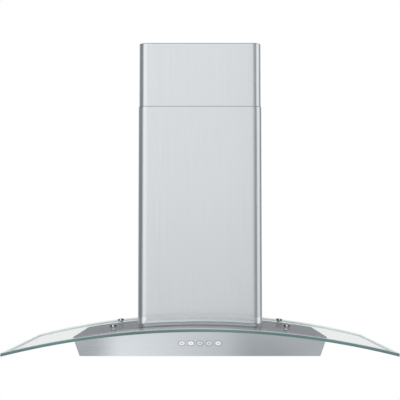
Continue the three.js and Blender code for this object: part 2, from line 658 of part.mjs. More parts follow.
// Drawn about the button's own axis: a cap with a sloping edge, a flange that stops it, and a stem
function pushButton() {
  const ovalPrism = (grow, yRange) => extrudedAlongY(
    oval(BUTTON_CAP_WIDTH + grow, BUTTON_CAP_HEIGHT + grow), yRange, OVAL_STEPS);
  const face = FRONT - BUTTON_PROUD;
  const cap = ovalPrism(0, [face + BUTTON_EDGE_DEPTH, FLANGE_BACK]);
  const crown = ovalPrism(-2 * BUTTON_EDGE_WIDTH, [face, face + BUTTON_EDGE_DEPTH]);
  const flange = ovalPrism(2 * BUTTON_FLANGE, [BEZEL_BACK + GAP, FLANGE_BACK]);
  const stem = disc(BUTTON_STEM_RADIUS, [FLANGE_BACK - LAP, FLANGE_BACK + BUTTON_STEM_LENGTH], PIN_ROUND);
  return joined(cap.add(crown).hull(), flange, lyingAlongY(stem));
}

function switchBlock() {
  const back = SWITCH_FRONT + SWITCH_BLOCK_DEPTH;
  const body = block(SWITCH_X, [SWITCH_FRONT, back], SWITCH_Z);
  const post = block([BEZEL_HALF_WIDTH - SWITCH_POST_WIDTH, BEZEL_HALF_WIDTH],
    [BEZEL_BACK + GAP, SWITCH_FRONT + LAP], SWITCH_Z);
  const boreEnd = FLANGE_BACK + BUTTON_STEM_LENGTH + BUTTON_TRAVEL + GAP;
  const bore = lyingAlongY(disc(BUTTON_STEM_RADIUS + GAP, [SWITCH_FRONT - LAP, boreEnd], PIN_ROUND));
  return joined(body, onBothSides(post))
    .subtract(joined(buttonCentres.map((x) => bore.translate([x, 0, BUTTON_HEIGHT]))));
}

// A moulded can on a foot that runs out at both ends
function lampDriver() {
  const [x0, x1] = [DRIVER_FROM_CENTRE, DRIVER_FROM_CENTRE + DRIVER_WIDTH];
  const [y0, y1] = [BEZEL_FRONT, BEZEL_FRONT + DRIVER_DEPTH];
  const z0 = PANEL_TOP + GAP;
  const foot = block([x0, x1], [y0, y1], [z0, z0 + DRIVER_FOOT_THICKNESS]);
  const can = roundedRectangle([x0 + DRIVER_FOOT, x1 - DRIVER_FOOT],
    [y0 + DRIVER_CAN_INSET, y1 - DRIVER_CAN_INSET], DRIVER_CAN_CORNER);
  return joined(foot, extrudedAlongZ(can, [z0, z0 + DRIVER_HEIGHT], SMALL_CORNER_STEPS));
}

// Chimney: one U-shaped section, drawn smaller by an inset for the piece that slides inside

function chimneySection(inset) {
  const half = CHIMNEY_WIDTH / 2 - inset;
  const front = -CHIMNEY_DEPTH + inset;
  const radius = CHIMNEY_CORNER_RADIUS - inset;
  const rear = -inset;
  const inner = half - CHIMNEY_RETURN;
  const shape = new THREE.Shape();
  shape.moveTo(-inner, rear);
  shape.lineTo(-half, rear);
  shape.absarc(-half + radius, front + radius, radius, Math.PI, Math.PI * 1.5);
  shape.absarc(half - radius, front + radius, radius, Math.PI * 1.5, Math.PI * 2);
  shape.lineTo(half, rear);
  shape.lineTo(inner, rear);
  shape.lineTo(inner, rear - SHEET);
  shape.lineTo(half - SHEET, rear - SHEET);
  shape.absarc(half - radius, front + radius, radius - SHEET, 0, -Math.PI / 2, true);
  shape.absarc(-half + radius, front + radius, radius - SHEET, -Math.PI / 2, -Math.PI, true);
  shape.lineTo(-half + SHEET, rear - SHEET);
  shape.lineTo(-inner, rear - SHEET);
  return shape;
}

function lowerChimney() {
  return extrudedAlongZ(chimneySection(0), [0, LOWER_CHIMNEY_TOP]).subtract(underBend(-GAP));
}

function upperChimney() {
  return extrudedAlongZ(chimneySection(CHIMNEY_INSET),
    [UPPER_CHIMNEY_TOP - UPPER_CHIMNEY_LENGTH, UPPER_CHIMNEY_TOP]);
}

// A folded strip: along the wall between the chimney's flanges, round them, and forward along its sides
function chimneyBracket(inset, [z0, z1]) {
  const web = CHIMNEY_WIDTH / 2 - inset - CHIMNEY_RETURN - BRACKET_WEB_CLEARANCE;
  const ear = CHIMNEY_WIDTH / 2 - inset - SHEET - GAP;
  const step = -(inset + SHEET + GAP);
  const reach = step - BRACKET_EAR;
  const half = [[web, 0], [web, step], [ear, step], [ear, reach],
    [ear - BRACKET_SHEET, reach], [ear - BRACKET_SHEET, step - BRACKET_SHEET],
    [web - BRACKET_SHEET, step - BRACKET_SHEET], [web - BRACKET_SHEET, -BRACKET_SHEET]];
  const outline = [...half, ...half.map(([x, y]) => [-x, y]).reverse()];
  const strip = extrudedAlongZ(new THREE.Shape(pointsOf(outline)), [z0, z1]);
  const slotEnd = lyingAlongY(disc(BRACKET_SLOT_WIDTH / 2, [-TALL, TALL], PIN_ROUND))
    .translate([(BRACKET_SLOT_LENGTH - BRACKET_SLOT_WIDTH) / 2, 0, (z0 + z1) / 2]);
  const slot = onBothSides(slotEnd).hull();
  return strip.subtract(onBothSides(slot.translate([BRACKET_SLOT_SPREAD / 2, 0, 0])));
}

// Blower box

// The opening that the scroll's mouth and the round collar share
function outletOpening(zRange) {
  const mouth = rectangle([-SCROLL_HALF, SCROLL_HALF],
    [BLOWER_MIDDLE - SCROLL_MOUTH_DEPTH / 2, BLOWER_MIDDLE + SCROLL_MOUTH_DEPTH / 2]);
  return extrudedAlongZ(mouth, zRange)
    .intersect(disc(COLLAR_RADIUS - COLLAR_WALL, zRange, COLLAR_ROUND).translate([0, BLOWER_MIDDLE, 0]));
}

// Folded sheet, open below, with a foot that lies on the bent top plate
function blowerBox() {
  const [x, y] = blowerPlan(0);
  const [xIn, yIn] = blowerPlan(-SHEET);
  const [xFoot, yFoot] = blowerPlan(BLOWER_FOOT);
  const foot = bentSheet(PLATE_BELOW - GAP - SHEET, SHEET, yFoot).intersect(block(xFoot, yFoot, [0, TALL]));
  return joined(block(x, y, [0, BLOWER_TOP_HEIGHT]).subtract(underBend(PLATE_BELOW - GAP)), foot)
    .subtract(block(xIn, yIn, [0, BLOWER_TOP_HEIGHT - SHEET]))
    .subtract(outletOpening([BLOWER_TOP_HEIGHT - 2 * SHEET, TALL]));
}

// Scroll housing

// A spiral that widens from its tongue round to the outlet, then a neck to the box's top
function scrollOutline(wall, topHeight) {
  const tongue = radians(SCROLL_TONGUE_ANGLE);
  const sweep = tongue + Math.PI;
  const spiral = Array.from({ length: SCROLL_STEPS + 1 }, (_, i) => {
    const turn = i / SCROLL_STEPS;
    const angle = tongue - sweep * turn;
    const radius = IMPELLER_RADIUS + SCROLL_TONGUE_CLEARANCE + SCROLL_GROWTH * turn + wall;
    return new THREE.Vector2(radius * Math.cos(angle), radius * Math.sin(angle));
  });
  const mouth = SCROLL_MOUTH_DEPTH / 2 + wall;
  const neck = pointsOf([[mouth, topHeight], [-mouth, topHeight]]);
  return new THREE.Shape([...neck, ...spiral.reverse()]);
}

// The right inlet's rounded rim, rolled from the side plate in towards the impeller
function inletMouth() {
  const face = SCROLL_HALF + SCROLL_WALL;
  const plate = INLET_RADIUS + INLET_ROUNDING;
  const lip = face - INLET_ROUNDING - INLET_LIP;
  const roll = quarterTurn(3).reverse().map((turn) => [
    plate - INLET_ROUNDING * Math.cos(turn), face - INLET_ROUNDING * (1 - Math.sin(turn))]);
  return lyingAlongX(turned([[INLET_RADIUS, lip], [INLET_RADIUS + SCROLL_WALL, lip],
    [plate, SCROLL_HALF], [plate + LAP, SCROLL_HALF], [plate + LAP, face], ...roll]));
}

function scrollHousing() {
  const neckTop = BLOWER_TOP_HEIGHT - SHEET - GAP - FAN_AXIS_HEIGHT;
  const outside = SCROLL_HALF + SCROLL_WALL;
  const shell = extrudedAlongX(scrollOutline(SCROLL_WALL, neckTop), [-outside, outside]);
  const inside = extrudedAlongX(scrollOutline(0, neckTop + LAP), [-SCROLL_HALF, SCROLL_HALF]);
  const inlets = lyingAlongX(disc(INLET_RADIUS + INLET_ROUNDING, [-TALL, TALL]));
  return joined(shell.subtract(inside).subtract(inlets), onBothSides(inletMouth()));
}

// Impeller

// One blade, seen along the axis: it starts radial and leans forward towards its outer edge
function bladeOutline() {
  const tip = IMPELLER_RADIUS - BLADE_TIP_INSET;
  const edge = (side) => Array.from({ length: BLADE_STATIONS + 1 }, (_, i) => {
    const along = i / BLADE_STATIONS;
    const radius = tip - BLADE_CHORD * (1 - along);
    const angle = radians(BLADE_SWEEP) * along ** 2 + side * BLADE_THICKNESS / 2 / radius;
    return new THREE.Vector2(radius * Math.cos(angle), radius * Math.sin(angle));
  });
  return new THREE.Shape([...edge(-1), ...edge(1).reverse()]);
}

// Forward-curved blades between two rims, carried by a disc at mid length
function impeller() {
  const half = IMPELLER_LENGTH / 2;
  const halfDisc = IMPELLER_DISC_THICKNESS / 2;
  const blade = extrudedAlongZ(bladeOutline(), [-half + LAP, half - LAP]);
  const blades = Array.from({ length: BLADE_COUNT }, (_, i) => blade.rotate([0, 0, i * 360 / BLADE_COUNT]));
  const rim = ring(IMPELLER_RADIUS - IMPELLER_RING_WIDTH, IMPELLER_RADIUS,
    [half - IMPELLER_RING_THICKNESS, half], BLADE_COUNT);
  const plate = disc(IMPELLER_RADIUS - BLADE_TIP_INSET, [-halfDisc, halfDisc], BLADE_COUNT);
  const hub = disc(HUB_RADIUS, [-halfDisc, HUB_LENGTH], SMALL_ROUND);
  const bore = disc(SHAFT_RADIUS + GAP, [-TALL, TALL], PIN_ROUND);
  return lyingAlongX(joined(blades, rim, rim.mirror([0, 0, 1]), plate, hub).subtract(bore));
}

const MOTOR_FACE = -IMPELLER_DISC_THICKNESS / 2 - MOTOR_CLEARANCE;
const SPIDER_INSIDE = -(SCROLL_HALF + SCROLL_WALL + GAP);
const SPIDER_OUTSIDE = SPIDER_INSIDE - SPIDER_THICKNESS;
const SPIDER_RIM_INSIDE = INLET_RADIUS + INLET_ROUNDING;

// Runs from the motor's bearing through the impeller's hub to its securing nut
function motorShaft() {
  const seat = HUB_LENGTH + GAP;
  const nut = disc(SHAFT_NUT_RADIUS, [seat, seat + SHAFT_NUT_HEIGHT], HEXAGON);
  const inner = MOTOR_FACE - MOTOR_BEARING_DEPTH + GAP;
  const rod = disc(SHAFT_RADIUS, [inner, seat + SHAFT_NUT_HEIGHT + SHAFT_END], PIN_ROUND);
  return lyingAlongX(rod.add(nut));
}

function motor() {
  const back = SPIDER_OUTSIDE - MOTOR_TAIL;
  const shoulder = SPIDER_INSIDE + GAP;
  const bearing = MOTOR_FACE - MOTOR_BEARING_DEPTH;
  const bore = SHAFT_RADIUS + GAP;
  return lyingAlongX(turned([
    [0, back], [MOTOR_END_RADIUS, back], [MOTOR_END_RADIUS, shoulder],
    [MOTOR_RADIUS, shoulder + MOTOR_END_STEP], [MOTOR_RADIUS, MOTOR_FACE - 2 * MOTOR_END_STEP],
    [MOTOR_END_RADIUS, MOTOR_FACE - MOTOR_END_STEP], [MOTOR_END_RADIUS, MOTOR_FACE],
    [bore, MOTOR_FACE], [bore, bearing], [0, bearing]], SMALL_ROUND));
}

// A rim over the left inlet, three arms, and a ring round the motor's rear end
function motorBracket() {
  const zRange = [SPIDER_OUTSIDE, SPIDER_INSIDE];
  const rim = ring(SPIDER_RIM_INSIDE, SPIDER_RIM_INSIDE + SPIDER_RIM_WIDTH, zRange);
  const ringInner = MOTOR_END_RADIUS + GAP;
  const hold = ring(ringInner, ringInner + SPIDER_RING_WIDTH, zRange, SMALL_ROUND);
  const armHalf = SPIDER_ARM_WIDTH / 2;
  const arm = block([ringInner + LAP, SPIDER_RIM_INSIDE + LAP], [-armHalf, armHalf], zRange);
  const arms = Array.from({ length: SPIDER_ARMS }, (_, i) => arm.rotate([0, 0, i * 360 / SPIDER_ARMS]));
  return lyingAlongX(joined(rim, hold, arms));
}

// Outlet collar with two flaps. The flaps close on a bar across the collar and lift away from it.

const FLAP_PIVOT_Z = COLLAR_BASE + COLLAR_BASE_THICKNESS + FLAP_HEIGHT;
const FLAP_PIVOT_OFFSET = COLLAR_BAR_WIDTH / 2 + GAP + FLAP_PIN_RADIUS;
const COLLAR_BORE = COLLAR_RADIUS - COLLAR_WALL;

function ductCollar() {
  const baseTop = COLLAR_BASE + COLLAR_BASE_THICKNESS;
  const half = COLLAR_BASE_WIDTH / 2;
  const plan = roundedRectangle([-half, half], [-half, half], COLLAR_BASE_CORNER);
  const base = extrudedAlongZ(plan, [COLLAR_BASE, baseTop], SMALL_CORNER_STEPS);
  const tube = disc(COLLAR_RADIUS, [COLLAR_BASE, baseTop + COLLAR_HEIGHT], COLLAR_ROUND);
  const bore = disc(COLLAR_BORE, [0, TALL], COLLAR_ROUND);
  const barReach = COLLAR_BORE + LAP;
  const bar = block([-barReach, barReach], [-COLLAR_BAR_WIDTH / 2, COLLAR_BAR_WIDTH / 2],
    [baseTop, FLAP_PIVOT_Z + FLAP_PIN_RADIUS]);
  const pinHole = lyingAlongX(disc(FLAP_PIN_RADIUS + GAP, [-TALL, TALL], PIN_ROUND));
  const pinHoles = [-1, 1].map((side) => pinHole.translate([0, side * FLAP_PIVOT_OFFSET, FLAP_PIVOT_Z]));
  const collar = joined(base, tube).subtract(bore).add(bar).subtract(joined(pinHoles));
  return collar.translate([0, BLOWER_MIDDLE, 0]);
}

// The rear flap, drawn about the collar's axis: a half disc with a pin along its straight edge
function damperFlap() {
  const zRange = [-FLAP_THICKNESS / 2, FLAP_THICKNESS / 2];
  const leaf = disc(COLLAR_BORE - FLAP_CLEARANCE, zRange, COLLAR_ROUND)
    .intersect(block([-TALL, TALL], [FLAP_PIVOT_OFFSET, TALL], zRange));
  const reach = Math.sqrt(COLLAR_RADIUS ** 2 - (FLAP_PIVOT_OFFSET + FLAP_PIN_RADIUS) ** 2) - GAP;
  const pin = lyingAlongX(disc(FLAP_PIN_RADIUS, [-reach, reach], PIN_ROUND));
  return joined(leaf, pin.translate([0, FLAP_PIVOT_OFFSET, 0]));
}

// Electrics on the blower box's back

const ELECTRICS_FRONT = BLOWER_BACK + GAP;
const JUNCTION_BACK = ELECTRICS_FRONT + JUNCTION_DEPTH;
const JUNCTION_TOP = BLOWER_TOP_HEIGHT - JUNCTION_BELOW_TOP;
const JUNCTION_X = [-JUNCTION_FROM_CENTRE - JUNCTION_WIDTH, -JUNCTION_FROM_CENTRE];
const JUNCTION_Z = [JUNCTION_TOP - JUNCTION_HEIGHT, JUNCTION_TOP];
const GLAND_SPOT = [
  -JUNCTION_FROM_CENTRE - JUNCTION_WIDTH / 2, ELECTRICS_FRONT + JUNCTION_DEPTH / 2, JUNCTION_TOP];

const shrunk = ([low, high], wall) => [low + wall, high - wall];

// An open-backed case, with the gland's hole in its top
function junctionBox() {
  const neckHole = disc(GLAND_NECK_RADIUS + GAP, [-JUNCTION_WALL - LAP, LAP], PIN_ROUND);
  return block(JUNCTION_X, [ELECTRICS_FRONT, JUNCTION_BACK], JUNCTION_Z)
    .subtract(block(shrunk(JUNCTION_X, JUNCTION_WALL), [ELECTRICS_FRONT + JUNCTION_WALL, TALL],
      shrunk(JUNCTION_Z, JUNCTION_WALL)))
    .subtract(neckHole.translate(GLAND_SPOT));
}

// A lid whose raised tray fits inside the case
function junctionBoxCover() {
  const front = JUNCTION_BACK + GAP;
  const inset = JUNCTION_WALL + GAP;
  const lid = block(JUNCTION_X, [front, front + JUNCTION_WALL], JUNCTION_Z);
  return lid.add(block(shrunk(JUNCTION_X, inset), [front - COVER_TRAY_DEPTH, front + LAP],
    shrunk(JUNCTION_Z, inset)));
}

// Stands on the junction box's top, with its neck through the wall. Nothing is fitted in its bore.
function cableGland() {
  const tail = -JUNCTION_WALL - GLAND_TAIL;
  return turned([[GLAND_BORE_RADIUS, tail], [GLAND_NECK_RADIUS, tail], [GLAND_NECK_RADIUS, GAP],
    [GLAND_RADIUS, GAP], [GLAND_RADIUS, GLAND_GRIP_LENGTH], [GLAND_RADIUS - GLAND_CHAMFER, GLAND_LENGTH],
    [GLAND_BORE_RADIUS, GLAND_LENGTH]], PIN_ROUND).translate(GLAND_SPOT);
}

const CAPACITOR_Y = ELECTRICS_FRONT + CLIP_THICKNESS + GAP + CAPACITOR_RADIUS;
const CAPACITOR_Z = BLOWER_TOP_HEIGHT - CAPACITOR_BELOW_TOP;

function capacitor() {
  const end = CAPACITOR_RADIUS - CAPACITOR_RIM;
  const can = turned([[0, 0], [end, 0], [CAPACITOR_RADIUS, CAPACITOR_RIM],
    [CAPACITOR_RADIUS, CAPACITOR_LENGTH - CAPACITOR_RIM], [end, CAPACITOR_LENGTH],
    [0, CAPACITOR_LENGTH]], SMALL_ROUND);
  return lyingAlongX(can).translate([CAPACITOR_FROM_CENTRE, CAPACITOR_Y, CAPACITOR_Z]);
}

// A strap round the capacitor with an ear above and below, against the box
function capacitorClip() {
  const middle = CAPACITOR_FROM_CENTRE + CAPACITOR_LENGTH / 2;
  const xRange = [middle - CLIP_WIDTH / 2, middle + CLIP_WIDTH / 2];
  const outer = CAPACITOR_RADIUS + GAP + CLIP_THICKNESS;
  const strap = lyingAlongX(ring(CAPACITOR_RADIUS + GAP, outer, [0, CLIP_WIDTH], SMALL_ROUND))
    .translate([xRange[0], CAPACITOR_Y, CAPACITOR_Z]);
  const ears = block(xRange, [ELECTRICS_FRONT, ELECTRICS_FRONT + CLIP_THICKNESS],
    [CAPACITOR_Z - outer - CLIP_EAR, CAPACITOR_Z + outer + CLIP_EAR]);
  return strap.add(ears);
}

// Materials

function finish(color, roughness, metalness, clear = {}) {
  return new THREE.MeshStandardMaterial({ color, roughness, metalness, ...clear });
}

const brushedSteel = finish(0xc3c7ca, 0.32, 1);
const plainSteel = finish(0xb2b6b8, 0.45, 1);
const galvanised = finish(0xa4a9ab, 0.5, 1);
const chrome = finish(0xe6e8ea, 0.08, 1);
const aluminium = finish(0xc9cccd, 0.4, 1);
const whitePlastic = finish(0xe9ebec, 0.4, 0);
const darkPlastic = finish(0x1d1f21, 0.5, 0);
const greyPlastic = finish(0x6b6f72, 0.55, 0);
const rubber = finish(0x191919, 0.8, 0);
const glass = finish(0xc4dcd6, 0.03, 0, { transparent: true, opacity: 0.35 });
const frostedGlass = finish(0xf1f3ee, 0.5, 0);

// Assembly

const hood = new THREE.Group();
hood.position.z = -HANG_HEIGHT;

function place(name, solid, material, parent = hood) {
  const mesh = new THREE.Mesh(geometryOf(solid), material);
  mesh.name = name;
  parent.add(mesh);
  return mesh;
}

place('glass_canopy', glassCanopy(), glass);
for (const { name, x, y } of FIXINGS) {
  const spot = onGlass(x, y);
  place(`glass_fixing_${name}`, glassFixing(), chrome, spot);
  place(`glass_washer_${name}`, glassWasher(), rubber, spot);
  hood.add(spot);
}

place('body_wrap', bodyWrap(), brushedSteel);
place('top_plate', topPlate(), brushedSteel);
place('back_panel', backPanel(), galvanised);
place('bottom_panel', bottomPanel(), brushedSteel);
for (const [side, x] of Object.entries(WALL_SCREWS)) {
  place(`wall_screw_${side}`, wallScrew(), plainSteel).position.set(x, 0, HANG_HEIGHT);
}

for (const [side, x] of Object.entries(FILTER_SIDES)) {
  const filter = new THREE.Group();
  filter.position.x = x;
  place(`filter_frame_${side}`, filterFrame(), aluminium, filter);
  place(`filter_mesh_${side}`, filterMesh(), aluminium, filter);
  place(`filter_latch_${side}`, filterLatch(), darkPlastic, filter);
  hood.add(filter);
}

for (const [side, x] of Object.entries(LAMP_SIDES)) {
  const lamp = new THREE.Group();
  lamp.position.set(x, LAMP_Y, 0);
  place(`lamp_bezel_${side}`, lampBezel(), chrome, lamp);
  place(`lamp_lens_${side}`, lampLens(), frostedGlass, lamp);
  place(`lamp_housing_${side}`, lampHousing(), aluminium, lamp);
  hood.add(lamp);
}
place('lamp_driver', lampDriver(), whitePlastic);

place('switch_bezel', switchBezel(), darkPlastic);
place('switch_block', switchBlock(), darkPlastic);
buttonCentres.forEach((x, i) => {
  place(`button_${i + 1}`, pushButton(), whitePlastic).position.set(x, 0, BUTTON_HEIGHT);
});

place('lower_chimney', lowerChimney(), brushedSteel);
place('upper_chimney', upperChimney(), brushedSteel);
const bracketHeights = (z0) => [z0, z0 + BRACKET_HEIGHT];
const lowerBracketZ = GLASS_TOP + LOWER_BRACKET_ABOVE_GLASS;
const upperBracketZ = UPPER_CHIMNEY_TOP - UPPER_BRACKET_BELOW_TOP - BRACKET_HEIGHT;
place('chimney_bracket_lower', chimneyBracket(0, bracketHeights(lowerBracketZ)), galvanised);
place('chimney_bracket_upper', chimneyBracket(CHIMNEY_INSET, bracketHeights(upperBracketZ)), galvanised);

place('blower_box', blowerBox(), galvanised);
const fan = new THREE.Group();
fan.position.set(0, BLOWER_MIDDLE, FAN_AXIS_HEIGHT);
place('scroll_housing', scrollHousing(), greyPlastic, fan);
place('impeller', impeller(), darkPlastic, fan);
place('motor_shaft', motorShaft(), plainSteel, fan);
place('motor', motor(), plainSteel, fan);
place('motor_bracket', motorBracket(), galvanised, fan);
hood.add(fan);

place('duct_collar', ductCollar(), darkPlastic);
place('damper_flap_rear', damperFlap(), greyPlastic).position.set(0, BLOWER_MIDDLE, FLAP_PIVOT_Z);
const frontFlap = place('damper_flap_front', damperFlap(), greyPlastic);
frontFlap.position.set(0, BLOWER_MIDDLE, FLAP_PIVOT_Z);
frontFlap.rotation.z = Math.PI;

place('junction_box', junctionBox(), greyPlastic);
place('junction_box_cover', junctionBoxCover(), greyPlastic);
place('cable_gland', cableGland(), darkPlastic);
place('capacitor', capacitor(), whitePlastic);
place('capacitor_clip', capacitorClip(), plainSteel);

export default hood;
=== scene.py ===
import json
from math import cos, pi, radians, sin, sqrt

import bmesh
import bpy
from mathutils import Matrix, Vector


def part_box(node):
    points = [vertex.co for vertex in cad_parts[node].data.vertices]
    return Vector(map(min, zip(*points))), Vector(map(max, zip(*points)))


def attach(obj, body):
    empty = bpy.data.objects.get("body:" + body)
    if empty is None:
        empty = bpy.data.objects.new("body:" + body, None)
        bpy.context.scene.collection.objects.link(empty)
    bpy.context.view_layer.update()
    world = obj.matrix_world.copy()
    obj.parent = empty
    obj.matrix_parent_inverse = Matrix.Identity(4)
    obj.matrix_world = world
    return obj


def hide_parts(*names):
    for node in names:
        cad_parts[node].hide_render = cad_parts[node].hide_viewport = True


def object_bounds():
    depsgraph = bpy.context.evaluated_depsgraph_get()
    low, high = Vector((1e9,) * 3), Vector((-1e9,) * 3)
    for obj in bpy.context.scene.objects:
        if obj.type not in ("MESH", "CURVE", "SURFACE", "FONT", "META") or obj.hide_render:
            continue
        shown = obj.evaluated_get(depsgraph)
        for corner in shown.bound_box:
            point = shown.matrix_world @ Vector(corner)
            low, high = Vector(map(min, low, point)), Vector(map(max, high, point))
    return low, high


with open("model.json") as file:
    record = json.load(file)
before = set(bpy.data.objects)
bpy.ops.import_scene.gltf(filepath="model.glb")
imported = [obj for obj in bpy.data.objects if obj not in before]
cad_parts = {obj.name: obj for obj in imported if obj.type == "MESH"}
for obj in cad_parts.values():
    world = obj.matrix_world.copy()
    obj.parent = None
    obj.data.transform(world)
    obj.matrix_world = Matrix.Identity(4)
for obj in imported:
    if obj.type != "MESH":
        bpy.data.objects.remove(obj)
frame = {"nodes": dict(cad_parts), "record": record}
cad_low, cad_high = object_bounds()
MM = 0.001

# The camera stands straight in front, a little above the body, tipped up slightly
PHOTO_PIXELS = 400  # the picture is square
FOCAL_PIXELS = 875
PRINCIPAL_ROW = 214  # the row that the camera's axis meets
CAMERA_PLACE = (0, -2.468, 0.205)
CAMERA_TILT = radians(2.8)
SENSOR_WIDTH = 36

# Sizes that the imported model's boxes don't say
GAP = 0.3 * MM
SHEET = 1 * MM
BEND_RADIUS = 1840 * MM
GLASS_THICKNESS = 8 * MM
GLASS_CORNER = 12 * MM
GLASS_ARRIS = 1.3 * MM
FIXING_HOLE = 4 * MM
FIXING_HEAD = (8 * MM, 5 * MM)  # radius and height
FIXING_ROUNDING = 1.5 * MM
FIXING_CROWN = 0.6 * MM
FIXING_SHANK = 3 * MM  # radius
WASHER_RADIUS = 8 * MM
WASHER_THICKNESS = 1 * MM
BLOWER_CLEARANCE = 3 * MM
CHIMNEY_CORNER = 23 * MM
CHIMNEY_RETURN = 16 * MM
SLIDE_CLEARANCE = 0.6 * MM
BUTTON_HALF = (7.7 * MM, 5.4 * MM)  # half width and half height
BUTTON_ROUNDING = 1.3 * MM
BUTTON_FLANGE = 1.3 * MM  # past the cap's sides
BUTTON_FLANGE_DEPTHS = (5.1 * MM, 6.6 * MM)  # from the cap's face to the flange's front and back
BUTTON_STEM = 2.5 * MM  # radius
EDGE_BREAK = 0.35 * MM  # chamfer on folded and moulded edges
THIN_BREAK = 0.25 * MM  # chamfer on the edges of the covers and the underside
SMOOTH_TO = 31  # degrees: faces that meet at less shade as one
FLAT_WITHIN = 0.4  # degrees: faces that meet at less are one face
TOUCHING = 1e-6  # points nearer than this are one
PLAN_STEPS = 10  # round each corner of a cut sheet

BUTTONS = range(1, 6)
SIDES = ("left", "right")
CORNERS = ("front_left", "rear_left", "front_right", "rear_right")
BODY_OF = {node: body for body, nodes in frame["record"]["behaviour"]["bodies"].items() for node in nodes}

glass_low, glass_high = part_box("glass_canopy")
BEND_CENTRE = glass_high.z - BEND_RADIUS


def roof(x):
    """Height of the glass's upper face at x."""
    return BEND_CENTRE + sqrt(BEND_RADIUS ** 2 - x * x)


# Shader maths


class Value:
    """A socket in a material, with the arithmetic that shaders need."""

    def __init__(self, net, socket):
        self.net, self.socket = net, socket

    def math(self, operation, *others):
        return self.net.node("ShaderNodeMath", {"operation": operation}, [self, *others])

    def __add__(self, other):
        return self.math("ADD", other)

    def __sub__(self, other):
        return self.math("SUBTRACT", other)

    def __rsub__(self, other):
        return self.net.node("ShaderNodeMath", {"operation": "SUBTRACT"}, [other, self])

    def __mul__(self, other):
        return self.math("MULTIPLY", other)

    def __truediv__(self, other):
        return self.math("DIVIDE", other)

    def absolute(self):
        return self.math("ABSOLUTE")

    def least(self, other):
        return self.math("MINIMUM", other)

    def most(self, other):
        return self.math("MAXIMUM", other)

    def ranged(self, low, high, to_low=0.0, to_high=1.0):
        """The value carried from one range to another, held at its ends."""
        return self.net.node("ShaderNodeMapRange", {"clamp": True}, [self, low, high, to_low, to_high])

    __radd__ = __add__
    __rmul__ = __mul__


class Net:
    """A material's or world's node tree, filled one node at a time."""

    def __init__(self, owner):
        owner.use_nodes = True
        self.tree = owner.node_tree
        self.tree.nodes.clear()

    def node(self, kind, settings=None, inputs=(), output=0):
        """Adds a node, sets it up, then gives its inputs by place or by name. Returns one of its outputs."""
        made = self.tree.nodes.new(kind)
        for name, value in (settings or {}).items():
            if name == "stops":
                self.fill_ramp(made.color_ramp, value)
            else:
                setattr(made, name, value)
        pairs = inputs.items() if isinstance(inputs, dict) else enumerate(inputs)
        for place, value in pairs:
            if isinstance(value, Value):
                self.tree.links.new(value.socket, made.inputs[place])
            elif value is not None:
                made.inputs[place].default_value = value
        return Value(self, made.outputs[output]) if made.outputs else None

    @staticmethod
    def fill_ramp(ramp, stops):
        while len(ramp.elements) < len(stops):
            ramp.elements.new(1.0)
        for element, (position, colour) in zip(ramp.elements, stops):
            element.position = position
            element.color = colour if isinstance(colour, tuple) else (colour, colour, colour, 1)

    def ramp(self, value, stops):
        return self.node("ShaderNodeValToRGB", {"stops": stops}, [value])

    def place(self, scale=(1, 1, 1)):
        """Object coordinates, scaled."""
        where = self.node("ShaderNodeTexCoord", output="Object")
        return self.node("ShaderNodeMapping", inputs={"Vector": where, "Scale": scale})

    def axis(self, name):
        """One of the object coordinates."""
        return self.axis_of("ShaderNodeTexCoord", "Object", name)

    def axis_of(self, kind, output, name):
        """One coordinate of a vector that some input node gives."""
        parts = self.node("ShaderNodeSeparateXYZ", inputs=[self.node(kind, output=output)])
        return Value(self, parts.socket.node.outputs[name])

    def below_bend(self):
        """Depth in millimetres below the glass's upper face, square to the bend."""
        x, rise = self.axis("X"), self.axis("Z") - BEND_CENTRE
        return (BEND_RADIUS - (x * x + rise * rise).math("SQRT")) / MM

    def seen(self):
        """1 for a ray from the camera, straight or through glass, and 0 for any other."""
        straight = self.node("ShaderNodeLightPath", output="Is Camera Ray")
        return straight.most(self.node("ShaderNodeLightPath", output="Is Transmission Ray"))

    def noise(self, scale, detail, rough=0.5, stretch=(1, 1, 1)):
        """Grey noise from 0 to 1 over the object, stretched along its axes."""
        return self.node("ShaderNodeTexNoise", inputs={
            "Vector": self.place(stretch), "Scale": scale, "Detail": detail, "Roughness": rough})

    def blend(self, factor, first, second, kind="MIX"):
        """A mix of two colours."""
        settings = {"data_type": "RGBA", "blend_type": kind}
        return self.node("ShaderNodeMix", settings, {0: factor, 6: first, 7: second}, output=2)

    def bump(self, height, strength, distance):
        return self.node("ShaderNodeBump", inputs={
            "Height": height, "Strength": strength, "Distance": distance})

    def surface(self, shader):
        self.node("ShaderNodeOutputMaterial", inputs={"Surface": shader})


def material(name):
    made = bpy.data.materials.new(name)
    return made, Net(made)


def principled(net, **inputs):
    named = {key.replace("_", " ").title().replace("Ior", "IOR"): value for key, value in inputs.items()}
    return net.node("ShaderNodeBsdfPrincipled", inputs=named)


# Finishes

STEEL_TONE = (0.60, 0.62, 0.64)
GRAIN_STRETCH = 0.012  # scale along the brush marks, against 1 across them


def shades(tone, *strengths):
    """Opaque colours, one for each strength of a tone."""
    return [tuple(channel * strength for channel in tone) + (1,) for strength in strengths]


